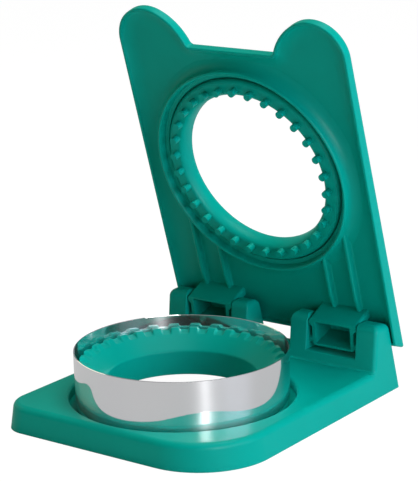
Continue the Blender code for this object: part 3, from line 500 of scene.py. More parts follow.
def slot_cutter(name, inner, outer):
    """A slot through a bracket, its front edges rounded off."""
    mouth = [(SLOT_MOUTH * (1 - math.sin(t)), SLOT_MOUTH * (1 - math.cos(t)))
             for t in angles(16.0, 5, -1, -1)]
    stations = [(SLOT_START, mouth[0][1])] + mouth + [(SLOT_END, 0.0)]
    return skin(name, [[(x, front_at(height) + depth, height) for x, height in
                        ear_gap(inner - widen, outer + widen, SLOT_FLOOR - widen)]
                       for depth, widen in stations])


# %% Join the brackets and the rear lip, then cut the slots
REAR_LIP_RISE, REAR_LIP_DEPTH, REAR_LIP_ROUND = 2.2 * MM, 4.0 * MM, 0.8 * MM
JOIN_OVERLAP = 1.0 * MM
lip_top = BASE_HEIGHT + REAR_LIP_RISE
lip_front = rear_at(BASE_HEIGHT) - REAR_LIP_DEPTH
lip = [(lip_front, hollow_top)]
lip += arc((lip_front + REAR_LIP_ROUND, lip_top - REAR_LIP_ROUND), REAR_LIP_ROUND, 180.0, 90.0, 6)
lip += [(rear_at(height) - STEP_IN / 2, height) for height in (lip_top, hollow_top)]
join(base, bracket("bracket_left", -1), bracket("bracket_right", 1),
     plate("rear_lip", lip, -EAR_INNER_X - JOIN_OVERLAP, EAR_INNER_X + JOIN_OVERLAP, SIDE_VIEW))
slots = []
for side, sign in SIDES:
    ends = sorted((sign * SLOT_INNER_X, sign * SLOT_OUTER_X))
    slots.append(slot_cutter(f"slot_{side}", *ends))
cut(base, *slots)
print(f"slots {SLOT_WIDTH / MM:.1f} mm wide")

# %% Cut the well and the underside
WELL_MARGIN, WELL_WALL, WELL_FLOOR, WELL_LEDGE = 2.4 * MM, 2.0 * MM, 2.0 * MM, 0.8 * MM
WELL_LIP, SKIN_PAST, BASE_WALL = 1.0 * MM, 0.01 * MM, 2.4 * MM
RING_MIDDLE = (0, RING_Y, 0)
TAB_WIDTH, TAB_REACH = 8.0 * MM, 7.6 * MM
SEAT_GAP = 0.3 * MM
RING_WALL, RING_FOOT = 0.5 * MM, 1.7 * MM
WELL_FLOOR_HEIGHT = RING_SEAT - SEAT_GAP
WELL_RADIUS = RING_RADIUS + WELL_MARGIN
OPENING_RADIUS = RING_RADIUS - RING_WALL - RING_FOOT - WELL_LEDGE
SCREW_CIRCLE = OPENING_RADIUS - 3.9 * MM
SCREW_RADIUS = 1.0 * MM
SCREW_ANGLES = [90.0 * i for i in range(4)]


def polar(radius, degrees):
    turn = math.radians(degrees)
    return round(radius * math.cos(turn), 9), round(RING_Y + radius * math.sin(turn), 9)


def opening_outline():
    """The well's opening: a circle with four round-ended tabs reaching in."""
    points = []
    spread = math.degrees(math.asin(TAB_WIDTH / 2 / OPENING_RADIUS))
    for angle in SCREW_ANGLES:
        centre = polar(OPENING_RADIUS - TAB_REACH + TAB_WIDTH / 2, angle)
        points += arc(centre, TAB_WIDTH / 2, angle - 90.0, angle - 270.0)
        points += arc((0.0, RING_Y), OPENING_RADIUS, angle + spread, angle + 90.0 - spread)
    return points


cut(base, plate("hollow", base_outline(BASE_WALL, BASE_WALL + hollow_top * math.tan(LEAN)), -PAST,
                hollow_top))
sunk = hollow_top + BASE_TOP / 2
well_inside = OPENING_RADIUS - 2 * TAB_REACH
well_outside = WELL_RADIUS + WELL_WALL
well_under = WELL_FLOOR_HEIGHT - WELL_FLOOR
join(base, spun("well", [(well_inside, sunk), (well_outside, sunk), (well_outside, well_under),
                         (well_inside, well_under)], RING_MIDDLE))
pocket_mouth = WELL_RADIUS + WELL_LIP * 1.2
pocket = [(0.0, BASE_HEIGHT + PAST), (pocket_mouth, BASE_HEIGHT + PAST)]
pocket += [(pocket_mouth, BASE_HEIGHT + SKIN_PAST)]
pocket += arc((WELL_RADIUS + WELL_LIP, BASE_HEIGHT - WELL_LIP), WELL_LIP, 90.0, 180.0)
pocket += [(WELL_RADIUS, WELL_FLOOR_HEIGHT), (0.0, WELL_FLOOR_HEIGHT)]
cut(base, spun("well_pocket", pocket, RING_MIDDLE),
    plate("well_opening", opening_outline(), -PAST, WELL_FLOOR_HEIGHT + JOIN_OVERLAP))
print(f"well {2 * WELL_RADIUS / MM:.1f} mm across")

# %% Core the brackets from below and sink the pin sockets
PIN_RADIUS, PIN_PLAY, PIN_SOCKET = 1.0 * MM, 0.1 * MM, 4.0 * MM
PIN_HOLE = PIN_RADIUS + PIN_PLAY
EAR_WALL, CORE_OVERLAP, EAR_CORE_RISE = 2.2 * MM, 2.0 * MM, 0.5 * MM


def block(name, low, high):
    corners = [(low[0], low[1]), (high[0], low[1]), (high[0], high[1]), (low[0], high[1])]
    return plate(name, corners, low[2], high[2])


def bore(name, radius, start, end, sides=32):
    """A round bar along X or Z between two points, for a hole, a boss or a lug."""
    start, end = Vector(start), Vector(end)
    along = (end - start).normalized()
    across = Vector((0, 1, 0)) if abs(along.y) < 0.5 else Vector((1, 0, 0))
    rise = along.cross(across)
    ring = [across * radius * math.cos(t) + rise * radius * math.sin(t)
            for t in (2 * math.pi * (i + 0.5) / sides for i in range(sides))]
    return skin(name, [[tuple(start + p) for p in ring], [tuple(end + p) for p in ring]])


core_front = HINGE_Y - EAR_FRONT + EAR_WALL
bar_top = SLOT_FLOOR - EAR_WALL
core_top = HINGE_Z - PIN_HOLE - EAR_WALL
core_low = hollow_top - CORE_OVERLAP
cores = []
for side, sign in SIDES:
    bar = sorted((sign * (EAR_INNER_X + EAR_WALL), sign * (HALF_WIDTH - BASE_WALL)))
    bar_rear = REAR_Y - bar_top * math.tan(LEAN) - BASE_WALL
    cores.append(block(f"bar_core_{side}", (bar[0], core_front, core_low), (bar[1], bar_rear, bar_top)))
    ears = ((EAR_INNER_X + EAR_WALL, SLOT_INNER_X - EAR_WALL, SLOT_INNER_X - PIN_SOCKET,
             SLOT_INNER_X + PAST),
            (SLOT_OUTER_X + EAR_WALL, HALF_WIDTH - BASE_WALL, SLOT_OUTER_X + PIN_SOCKET,
             SLOT_OUTER_X - PAST))
    ear_rear = REAR_Y - core_top * math.tan(LEAN) - EAR_WALL
    for number, (inner, outer, bottom, mouth) in enumerate(ears):
        ends = sorted((sign * inner, sign * outer))
        cores.append(block(f"ear_core_{side}_{number}", (ends[0], core_front, core_low + EAR_CORE_RISE),
                           (ends[1], ear_rear, core_top)))
        cores.append(bore(f"socket_{side}_{number}", PIN_HOLE, (sign * bottom, HINGE_Y, HINGE_Z),
                          (sign * mouth, HINGE_Y, HINGE_Z)))
for number, angle in enumerate(SCREW_ANGLES):
    x, y = polar(SCREW_CIRCLE, angle)
    cores.append(bore(f"tab_hole_{number}", SCREW_RADIUS + 2 * SEAT_GAP, (x, y, 0), (x, y, BASE_HEIGHT)))
cut(base, *cores)
smooth(base)

# %% [markdown]
# ## The steel ring
# The ring is a strip 0.5 mm thick, rolled into a hoop, with its top edge ground and its foot turned in. A
# profile spun round the axis makes it, with a wall that leans out by a hundredth of its height. A Screw
# modifier could turn it too, but its seam would need a merge, and here the last column joins the first. A
# rolled hoop is never perfectly true, and a mirror shows that first: a Geometry Nodes tree pushes the wall
# in and out by a few hundredths of a millimetre.

# %% Geometry Nodes helpers
def node_tree(name, sizes):
    """A Geometry Nodes tree with a geometry input, named sizes and a geometry output."""
    tree = bpy.data.node_groups.new(name, "GeometryNodeTree")
    tree.interface.new_socket("Geometry", in_out="INPUT", socket_type="NodeSocketGeometry")
    for label, value in sizes.items():
        kind = "NodeSocketInt" if isinstance(value, int) else "NodeSocketFloat"
        tree.interface.new_socket(label, in_out="INPUT", socket_type=kind).default_value = value
    tree.interface.new_socket("Geometry", in_out="OUTPUT", socket_type="NodeSocketGeometry")
    graph = Graph(tree)
    return graph, graph.add("NodeGroupInput")


def close_tree(graph, geometry, material):
    """Realizes instances, sets the material and ends the tree."""
    real = graph.add("GeometryNodeRealizeInstances", None, {0: geometry})[0]
    painted = graph.add("GeometryNodeSetMaterial", None, {"Geometry": real, "Material": material})[0]
    graph.add("NodeGroupOutput", None, {0: painted})


def grow(item, graph, sizes):
    """Runs the tree on an object with these sizes and keeps the result as its plain mesh."""
    step = item.modifiers.new(graph.tree.name, "NODES")
    step.node_group = graph.tree
    for socket in graph.tree.interface.items_tree:
        if socket.in_out == "INPUT" and socket.name in sizes:
            step[socket.identifier] = sizes[socket.name]
    settle(item)
    print(f"{item.name}: {len(item.data.polygons)} faces from '{graph.tree.name}'")


# %% A rolled hoop that isn't perfectly true
ripple_sizes = {"Centre Y": 0.0, "Depth": 0.03 * MM, "Waves": 3.0}
ripple, given = node_tree("Rolled hoop", ripple_sizes)
axes = ripple.axes(ripple.add("GeometryNodeInputPosition")[0])
turn_round = axes[1].maths("SUBTRACT", given["Centre Y"]).maths("ARCTAN2", axes[0])
wave = (turn_round * given["Waves"] + axes[2] * 140.0).maths("SINE")
wave = wave + (turn_round * 7.0 + axes[2] * 260.0).maths("SINE") * 0.5
outward = ripple.vector(turn_round.maths("COSINE"), turn_round.maths("SINE"))
shift = ripple.add("ShaderNodeVectorMath", {"operation": "SCALE"}, {
    0: outward, "Scale": wave * given["Depth"]})[0]
moved = ripple.add("GeometryNodeSetPosition", None, {"Geometry": given["Geometry"], "Offset": shift})[0]
close_tree(ripple, moved, ring_steel)

STEEL_LIP = RING_WALL * 0.3
STEEL_LEAN, WALL_STEPS = 0.010, 12
RIPPLE_ROOM = 0.06 * MM
wall_out, wall_in = RING_RADIUS - RIPPLE_ROOM, RING_RADIUS - RING_WALL
bend = 0.8 * MM
profile = [(wall_in, RING_TOP - STEEL_LIP)]
profile += [(wall_in + STEEL_LIP, RING_TOP), (wall_out - STEEL_LIP, RING_TOP)]
profile += [(wall_out, RING_TOP - STEEL_LIP)]
profile += [(wall_out, RING_TOP + (RING_SEAT + bend - RING_TOP) * i / WALL_STEPS)
            for i in range(1, WALL_STEPS)]
profile += arc((wall_out - bend, RING_SEAT + bend), bend, 0.0, -90.0)
foot_in = wall_in - RING_FOOT
profile += [(foot_in, RING_SEAT), (foot_in, RING_SEAT + RING_WALL)]
inner_bend = bend - RING_WALL
profile += arc((wall_in - inner_bend, RING_SEAT + bend), inner_bend, -90.0, 0.0)
profile += [(wall_in, RING_SEAT + bend + (RING_TOP - RING_SEAT - bend) * i / WALL_STEPS)
            for i in range(1, WALL_STEPS)]
profile = [(radius - STEEL_LEAN * (RING_TOP - height), height) for radius, height in profile]
steel_ring = spun("steel_cutting_ring", profile, RING_MIDDLE, 360)
grow(steel_ring, ripple, {"Centre Y": RING_Y})
smooth(steel_ring)

# %% [markdown]
# ## The toothed ring
# Inside the steel stands a plastic ring with thirty-two teeth round its rim, which crimp the bread. Teeth
# that follow a rule are a task for Geometry Nodes: a plain spun ring goes in, and every point near the rim
# is lowered where its angle falls between two teeth. Cutting thirty-two notches with Booleans would also
# do, but the edges would stay hard, and here one smooth step rounds them all.

# %% Profile of the toothed ring
HUB_TAPER, RIM_WIDTH, HUB_WALL = 1.2 * MM, 2.0 * MM, 1.4 * MM
RIM_DRAFT, RIM_DEPTH, CAVITY_DEPTH, SHOULDER_SHARE = 0.2 * MM, 4.0 * MM, 5.0 * MM, 0.3
FUNNEL_WALL, FUNNEL_WIDTH, BORE_TOP_DROP = 1.8 * MM, 9.1 * MM, 7.0 * MM
RIM_RADIUS = HUB_RADIUS - HUB_TAPER
FUNNEL_RADIUS = RIM_RADIUS - RIM_WIDTH
BORE_RADIUS = FUNNEL_RADIUS - FUNNEL_WIDTH
BORE_TOP = HUB_TOP - BORE_TOP_DROP
HUB_BOTTOM = RING_SEAT + RING_WALL + SEAT_GAP
TOOTH_COUNT = 32


def span(start, end, count):
    """Points from start towards end, without the end."""
    return [(start[0] + (end[0] - start[0]) * i / count, start[1] + (end[1] - start[1]) * i / count)
            for i in range(count)]


BORE_ROUND = 1.2 * MM
edge = 0.45 * MM
shoulder = HUB_BOTTOM + (HUB_TOP - HUB_BOTTOM) * SHOULDER_SHARE
skirt = HUB_RADIUS - HUB_WALL
inner_wall = BORE_RADIUS + FUNNEL_WALL
funnel_slope = math.degrees(math.atan2(BORE_TOP_DROP, FUNNEL_WIDTH))
rim_in = (FUNNEL_RADIUS + RIM_DRAFT, HUB_TOP)
rim_foot = (RIM_RADIUS + RIM_DRAFT, HUB_TOP - RIM_DEPTH)
hub = span((RIM_RADIUS, HUB_TOP - edge), rim_foot, 8)
hub += span(rim_foot, (HUB_RADIUS, shoulder), 4)
hub += [(HUB_RADIUS, shoulder), (HUB_RADIUS, HUB_BOTTOM), (skirt, HUB_BOTTOM), (skirt, shoulder)]
hub += [(RIM_RADIUS - HUB_WALL, HUB_TOP - CAVITY_DEPTH), (inner_wall, BORE_TOP - FUNNEL_WALL)]
hub += [(inner_wall, HUB_BOTTOM), (BORE_RADIUS, HUB_BOTTOM)]
hub += arc((BORE_RADIUS + BORE_ROUND, BORE_TOP - BORE_ROUND / 2), BORE_ROUND, 180.0, 90.0 + funnel_slope)
hub += span(hub[-1], rim_in, 24)[1:]
hub += span(rim_in, (RIM_RADIUS - edge, HUB_TOP), 6)
hub += arc((RIM_RADIUS - edge, HUB_TOP - edge), edge, 90.0, 0.0)[:-1]
toothed_ring = spun("toothed_ring", hub, RING_MIDDLE, TOOTH_COUNT * 20)
print(f"toothed ring: a profile of {len(hub)} points, {TOOTH_COUNT} teeth to come")

# %% Teeth by rule
FIRST_TOOTH = 7.5
TOOTH_SIZES = {"Centre Y": RING_Y, "Teeth": float(TOOTH_COUNT), "First tooth": math.radians(FIRST_TOOTH),
               "Top": HUB_TOP, "Rim radius": RIM_RADIUS, "Depth": 1.0 * MM, "Fall": 0.2126,
               "Half tooth": 0.20, "Flank": 0.10}
FADE_END, RIM_BAND, OUTER_BAND, UNDER_BORE = 1.2 * MM, 0.6 * MM, 0.7 * MM, 0.5 * MM
teeth, given = node_tree("Teeth round a rim", TOOTH_SIZES)
axes = teeth.axes(teeth.add("GeometryNodeInputPosition")[0])
from_centre = axes[1] - given["Centre Y"]
angle = from_centre.maths("ARCTAN2", axes[0])
reach = (axes[0] * axes[0] + from_centre * from_centre).maths("SQRT")
pitches = (angle - given["First tooth"]) * given["Teeth"] / (2 * math.pi)
off_tooth = (pitches - pitches.maths("ROUND")).maths("ABSOLUTE")


def step_up(graph, value, low, high):
    """A smooth step from 0 to 1 while the value runs from low to high."""
    return graph.add("ShaderNodeMapRange", {"interpolation_type": "SMOOTHSTEP"},
                     {"Value": value, "From Min": low, "From Max": high})[0]


between = step_up(teeth, off_tooth, given["Half tooth"], given["Half tooth"] + given["Flank"])
notch_level = given["Top"] - given["Depth"] - (given["Rim radius"] - reach) * given["Fall"]
over = axes[2] - notch_level
wall_share = step_up(teeth, axes[2], given["Top"] - RIM_DEPTH, given["Top"] - FADE_END)
is_wall = step_up(teeth, reach, given["Rim radius"] - RIM_BAND, given["Rim radius"])
is_top = 1.0 - is_wall
lowered = over.maths("MAXIMUM", 0.0) * is_top + wall_share * given["Depth"] * is_wall
drop = teeth.vector(z=between * lowered * -1.0)
near_top = axes[2].maths("GREATER_THAN", BORE_TOP - UNDER_BORE)
facing_up = teeth.axes(teeth.add("GeometryNodeInputNormal")[0])[2]
outside = reach.maths("GREATER_THAN", given["Rim radius"] - OUTER_BAND)
picked = (facing_up.maths("GREATER_THAN", 0.02) + outside).maths("GREATER_THAN", 0.5) * near_top
moved = teeth.add("GeometryNodeSetPosition", None, {
    "Geometry": given["Geometry"], "Selection": picked, "Offset": drop})[0]
close_tree(teeth, moved, ring_green)
grow(toothed_ring, teeth, TOOTH_SIZES)

# %% Bosses and pilot holes under the toothed ring
BOSS_RADIUS, BOSS_SUNK, PILOT_DEPTH = 3.0 * MM, 0.9 * MM, 9.3 * MM
boss_top = BORE_TOP + (SCREW_CIRCLE - BOSS_RADIUS - BORE_RADIUS) * BORE_TOP_DROP / FUNNEL_WIDTH
bosses, pilots = [], []
for number, angle_deg in enumerate(SCREW_ANGLES):
    x, y = polar(SCREW_CIRCLE, angle_deg)
    bosses.append(bore(f"boss_{number}", BOSS_RADIUS, (x, y, RING_SEAT), (x, y, boss_top - BOSS_SUNK)))
    pilots.append(bore(f"pilot_{number}", SCREW_RADIUS + SEAT_GAP, (x, y, 0),
                       (x, y, WELL_FLOOR_HEIGHT - WELL_FLOOR + PILOT_DEPTH)))
join(toothed_ring, *bosses)
cut(toothed_ring, *pilots)
smooth(toothed_ring, 40.0)

# %% [markdown]
# ## The lid
# The lid is drawn in its closed place, where its hinge axis is the X axis, and is turned to its open rest
# only at the end. Its panel is one skin: rings of points run up over the narrow rim, down the tray's fillet
# and round the back edge, so that every fillet is true and needs no bevel. Collar, ribs and knuckles are
# joined to it afterwards, and the bore is cut last. The four ribs could be instances, but each ends where it
# meets the round collar, so a loop draws them one by one.

# %% Lid outline
lid_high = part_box("lid_plate")[1]
LID_HALF = lid_high.x
LID_TAIL, TAIL_SLOPE = 9.5 * MM, math.tan(math.radians(36.0))
LID_NOTCH_REACH = HINGE_REACH + RING_RADIUS + 10.6 * MM
LID_RIM_LEVEL, LID_THICKNESS, LID_SKIN = 4.7 * MM, 4.9 * MM, 2.1 * MM
LID_FALL = math.tan(math.radians(0.8))
LID_OUTSIDE = LID_RIM_LEVEL + LID_THICKNESS
LID_FLOOR = LID_OUTSIDE - LID_SKIN
GRIP_REACH = HINGE_REACH + RING_RADIUS + 11.2 * MM
GRIP_RADIUS, SHOULDER_RADIUS, SHOULDER_ANGLE = 14.9 * MM, 24.0 * MM, 115.0
LID_CORNER, LEAST_CORNER, NOTCH_ROUND = 1.5 * MM, 0.5 * MM, 2.0 * MM
LID_OPEN = (Matrix.Translation((0, HINGE_Y, HINGE_Z))
            @ Matrix.Rotation(math.radians(-OPEN_ANGLE), 4, "X"))


def lid_outline(inset, level):
    """The panel seen square on; outline y is the reach from the axis."""
    half = LID_HALF - inset
    tail = -LID_TAIL - (level - LID_RIM_LEVEL) * TAIL_SLOPE + inset
    corner = max(LID_CORNER - inset, LEAST_CORNER)
    grip = (LID_HALF - GRIP_RADIUS, GRIP_REACH)
    turn = math.radians(SHOULDER_ANGLE)
    lead = GRIP_RADIUS - SHOULDER_RADIUS
    centre = (grip[0] + lead * math.cos(turn), grip[1] + lead * math.sin(turn))
    spread = SHOULDER_RADIUS + NOTCH_ROUND
    foot = math.degrees(math.acos((LID_NOTCH_REACH + NOTCH_ROUND - centre[1]) / spread)) + 90.0
    valley = (centre[0] + spread * math.cos(math.radians(foot)), LID_NOTCH_REACH + NOTCH_ROUND)
    points = arc((half - corner, tail + corner), corner, -90.0, 0.0)
    points += arc(grip, GRIP_RADIUS - inset, 0.0, SHOULDER_ANGLE)
    points += arc(centre, SHOULDER_RADIUS - inset, SHOULDER_ANGLE, foot)[1:]
    points += arc(valley, NOTCH_ROUND + inset, foot - 180.0, -90.0)[1:]
    return points + [(-x, y) for x, y in reversed(points)]


def outside_level(reach):
    return LID_OUTSIDE + (HINGE_REACH - reach) * LID_FALL


def lid_ring(inset, level=None, below_outside=None):
    """One ring of the lid's skin, at a level or at a depth under the sloping outside."""
    ring = []
    guess = LID_OUTSIDE if level is None else level
    for x, reach in lid_outline(inset, guess):
        height = level if below_outside is None else outside_level(reach) - below_outside
        if below_outside is not None and reach < 0:
            reach = reach - (height - guess) * TAIL_SLOPE
        ring.append((x, -reach, height))
    return ring


RIM_WIDTH_LID, TRAY_REACH, TRAY_FALL = 1.3 * MM, 6.4 * MM, 2.3 * MM
RIM_ROUND, RIM_INNER_ROUND, BACK_ROUND = 0.45 * MM, 0.35 * MM, 0.8 * MM
tray = [lid_ring(RIM_WIDTH_LID + TRAY_REACH * (1 - math.sin(t)), LID_FLOOR - TRAY_FALL * (1 - math.cos(t)))
        for t in angles(6.0, 16)]
tray += [lid_ring(i, level) for i, level in
         arc((RIM_WIDTH_LID - RIM_INNER_ROUND, LID_RIM_LEVEL + RIM_INNER_ROUND), RIM_INNER_ROUND, 0.0,
             -90.0, 4)]
tray += [lid_ring(i, level) for i, level in
         arc((RIM_ROUND, LID_RIM_LEVEL + RIM_ROUND), RIM_ROUND, -90.0, -180.0, 4)]
back = [lid_ring(i, below_outside=depth) for i, depth in
        [(0.0, BACK_ROUND)] + [(BACK_ROUND * (1 - math.cos(t)), BACK_ROUND * (1 - math.sin(t)))
                               for t in angles(22.5, 1, 5)]]
lid = skin("lid", tray + back)
print(f"lid panel {2 * LID_HALF / MM:.0f} mm wide, {len(tray) + len(back)} rings")

# %% Collar
COLLAR_LEVEL, COLLAR_WALL, COLLAR_FLARE = 1.75 * MM, 1.8 * MM, 5.5 * MM
COLLAR_INSIDE, COLLAR_OVERLAP = RING_RADIUS + 0.9 * MM, 3.0 * MM
COLLAR_OUTSIDE = COLLAR_INSIDE + COLLAR_WALL
LID_BORE_RADIUS = RING_RADIUS - 9.0 * MM
PEG_SPIGOT = LID_BORE_RADIUS + 4.7 * MM
LIP_ROUND, FLARE_PAST = 0.7 * MM, 0.1 * MM
CENTRE = (0.0, -HINGE_REACH, 0.0)
lid_sunk = LID_FLOOR + LID_SKIN / 2
flare = [(COLLAR_OUTSIDE + COLLAR_FLARE * (1 - math.sin(t)),
          LID_FLOOR - (LID_FLOOR - COLLAR_LEVEL - LIP_ROUND) * (1 - math.cos(t)))
         for t in angles(6.0, 1, 16)]
uncut_inside = PEG_SPIGOT - COLLAR_OVERLAP
collar = [(uncut_inside, lid_sunk), (flare[0][0] + FLARE_PAST, lid_sunk)] + flare
collar += arc((COLLAR_OUTSIDE - LIP_ROUND, COLLAR_LEVEL + LIP_ROUND), LIP_ROUND, 0.0, -90.0)
collar += [(uncut_inside, COLLAR_LEVEL)]
join(lid, spun("collar", collar, CENTRE))
print(f"collar {2 * COLLAR_OUTSIDE / MM:.1f} mm across")

# %% Ribs
RIB_WIDTH, RIB_LEVEL, RIB_FOOT = 2.0 * MM, 4.4 * MM, 0.8 * MM
RIB_PAST = 0.05 * MM
RIB_OFFSETS = [SLOT_INNER_X + 7.3 * MM, SLOT_INNER_X + 19.3 * MM]
KNUCKLE_TOP_REACH, KNUCKLE_TOP_LEVEL = 2.4 * MM, -3.5 * MM


def rib_section(level):
    """Half round top, straight sides and a flared foot, as (across, level)."""
    half = RIB_WIDTH / 2
    crown = half * 0.9
    rounded = [(half * math.sin(t), level + crown * (1 - math.cos(t)))
               for t in angles(15.0, 7)]
    foot = [(half + RIB_FOOT * (1 - math.cos(t)), LID_FLOOR - RIB_FOOT * (1 - math.sin(t)))
            for t in angles(15.0, 6)]
    points = rounded + foot + [(foot[-1][0] + RIB_PAST, lid_sunk)]
    return points + [(-x, w) for x, w in reversed(points[1:])]


ribs = []
for side, sign in SIDES:
    for number, offset in enumerate(RIB_OFFSETS, 1):
        chord = math.sqrt((COLLAR_OUTSIDE - COLLAR_WALL / 2) ** 2 - offset ** 2)
        stations = [(KNUCKLE_TOP_REACH, RIB_LEVEL + RIB_WIDTH * 0.6),
                    (KNUCKLE_TOP_REACH + 2.0 * RIB_WIDTH, RIB_LEVEL + RIB_WIDTH * 0.3),
                    (KNUCKLE_TOP_REACH + 4.0 * RIB_WIDTH, RIB_LEVEL), (HINGE_REACH - chord, RIB_LEVEL)]
        ribs.append(skin(f"rib_{side}_{number}",
                         [[(sign * offset + x, -reach, w) for x, w in rib_section(level)]
                          for reach, level in stations]))
join(lid, *ribs)
print("ribs at", [round(offset / MM, 1) for offset in RIB_OFFSETS])

# %% Knuckles
KNUCKLE_GAP, KNUCKLE_WALL, KNUCKLE_SIDE_WALL = 1.9 * MM, 0.9 * MM, 1.4 * MM
KNUCKLE_FOOT_REACH, KNUCKLE_FOOT_LEVEL, KNUCKLE_FLARE = -8.6 * MM, -5.6 * MM, 1.8 * MM
KNUCKLE_CEILING = 6.2 * MM
KNUCKLE_BEVEL = 0.6 * MM
ROOF_GAP, ROOF_EDGE, ROOF_SIDE = 0.3 * MM, 1.3 * MM, 1.9 * MM
ROOF_BEVEL, ROOF_DIP = 0.3 * MM, 0.1 * MM
LUG_RADIUS, LUG_REACH, LUG_LEVEL, LUG_LENGTH = 1.6 * MM, -6.9 * MM, -3.6 * MM, 1.5 * MM


def mouth_level(reach):
    """The knuckle's slanting mouth."""
    share = (KNUCKLE_TOP_REACH - reach) / (KNUCKLE_TOP_REACH - KNUCKLE_FOOT_REACH)
    return KNUCKLE_TOP_LEVEL + (KNUCKLE_FOOT_LEVEL - KNUCKLE_TOP_LEVEL) * share


def knuckle_section(rise, centre_x):
    """A knuckle seen into its mouth, as (x, reach): its thick roof fills the slot, its walls stand in."""
    half_roof = SLOT_WIDTH / 2 - ROOF_GAP
    half = SLOT_WIDTH / 2 - KNUCKLE_GAP
    top = KNUCKLE_TOP_REACH + rise
    sweep = half_roof - half
    low = [(half - KNUCKLE_BEVEL, KNUCKLE_FOOT_REACH), (half, KNUCKLE_FOOT_REACH + KNUCKLE_BEVEL)]
    under = KNUCKLE_TOP_REACH - ROOF_SIDE
    side = [(half, under - sweep * 0.8), (half_roof - ROOF_BEVEL, under - ROOF_DIP)]
    side += [(half_roof, under + ROOF_BEVEL)]
    side += arc((half_roof - ROOF_EDGE, top - ROOF_EDGE), ROOF_EDGE, 0.0, 90.0, 8)
    points = low + side
    points = points + [(-x, reach) for x, reach in reversed(points)]
    return [(centre_x + x, reach) for x, reach in points]


def knuckle(name, centre_x):
    sections = []
    for level, rise in ((None, 0.0), (LID_FLOOR, KNUCKLE_FLARE), (lid_sunk, KNUCKLE_FLARE)):
        sections.append([(x, -reach, mouth_level(reach) if level is None else level)
                         for x, reach in knuckle_section(rise, centre_x)])
    return skin(name, sections)


def knuckle_hollow(name, centre_x):
    half = SLOT_WIDTH / 2 - KNUCKLE_GAP - KNUCKLE_SIDE_WALL
    low, top = KNUCKLE_FOOT_REACH + KNUCKLE_WALL, KNUCKLE_TOP_REACH - KNUCKLE_WALL
    corners = [(-half, low), (half, low), (half, top), (-half, top)]
    return skin(name, [[(centre_x + x, -reach, mouth_level(reach) - PAST) for x, reach in corners],
                       [(centre_x + x * 0.97, -reach, KNUCKLE_CEILING) for x, reach in corners]])


slot_middle = (SLOT_INNER_X + SLOT_OUTER_X) / 2
bodies, hollows = [], []
for side, sign in SIDES:
    bodies.append(knuckle(f"knuckle_{side}", sign * slot_middle))
    hollows.append(knuckle_hollow(f"hollow_{side}", sign * slot_middle))
    for number, way in enumerate((-1, 1)):
        near = sign * slot_middle + way * (SLOT_WIDTH / 2 - KNUCKLE_GAP - KNUCKLE_SIDE_WALL / 2)
        far = sign * slot_middle + way * (SLOT_WIDTH / 2 - KNUCKLE_GAP + LUG_LENGTH)
        bodies.append(bore(f"lug_{side}_{number}", LUG_RADIUS, (near, -LUG_REACH, LUG_LEVEL),
                           (far, -LUG_REACH, LUG_LEVEL)))
    reach_x = SLOT_WIDTH / 2 - SEAT_GAP / 2
    hollows.append(bore(f"pin_bore_{side}", PIN_HOLE, (sign * slot_middle - reach_x, 0, 0),
                        (sign * slot_middle + reach_x, 0, 0)))
join(lid, *bodies)
cut(lid, *hollows)

# %% Bore of the lid
PEG_RING_RADIUS = PEG_SPIGOT + 3.0 * MM
CHANNEL_LEVEL = COLLAR_LEVEL + 3.3 * MM
peg_seat = PEG_RING_RADIUS + SEAT_GAP
BARB_REACH = 0.7 * MM
barb = PEG_SPIGOT + BARB_REACH
spot = barb + SEAT_GAP
PEG_SEAT_LEVEL = LID_FLOOR + 1.6 * MM
LAND_ROUND = 0.4 * MM
CHANNEL_CHAMFER, CHANNEL_RISE = 0.55 * MM, 0.25 * MM
LIP_CHAMFER, LIP_PAST = 0.1 * MM, 0.05 * MM
lip_inside = COLLAR_INSIDE + COLLAR_WALL - 2 * LIP_ROUND
bore_profile = [(0.0, LID_OUTSIDE + PAST), (spot, LID_OUTSIDE + PAST), (spot, PEG_SEAT_LEVEL),
                (PEG_SPIGOT + SEAT_GAP, PEG_SEAT_LEVEL), (PEG_SPIGOT + SEAT_GAP, LID_FLOOR),
                (peg_seat, LID_FLOOR), (peg_seat, CHANNEL_LEVEL + LAND_ROUND)]
bore_profile += [(peg_seat + LAND_ROUND * (1 - math.cos(t)), CHANNEL_LEVEL + LAND_ROUND * (1 - math.sin(t)))
                 for t in angles(20.0, 1, 5)]
bore_profile += [(lip_inside - CHANNEL_CHAMFER, CHANNEL_LEVEL - CHANNEL_RISE),
                 (lip_inside - LIP_CHAMFER, COLLAR_LEVEL + LIP_ROUND + LIP_CHAMFER)]
bore_profile += [(lip_inside + LIP_ROUND * (1 - math.cos(t)), COLLAR_LEVEL + LIP_ROUND * (1 - math.sin(t)))
                 for t in angles(15.0, 6)]
bore_profile += [(lip_inside + LIP_ROUND, COLLAR_LEVEL - LIP_PAST),
                 (lip_inside + LIP_ROUND, COLLAR_LEVEL - PAST), (0.0, COLLAR_LEVEL - PAST)]
cut(lid, spun("lid_bore", bore_profile, CENTRE))
lid.data.transform(LID_OPEN)
smooth(lid)

# %% [markdown]
# ## The pegged ring
# The ring in the lid presses the bread onto the teeth with thirty round-tipped pegs. Geometry Nodes make one
# peg as a curve whose radius follows a quarter circle near its tip, and stand a copy on each point of a
# circle. A cylinder with a sphere on it would do as well, but the curve gives tip and taper in one skin.

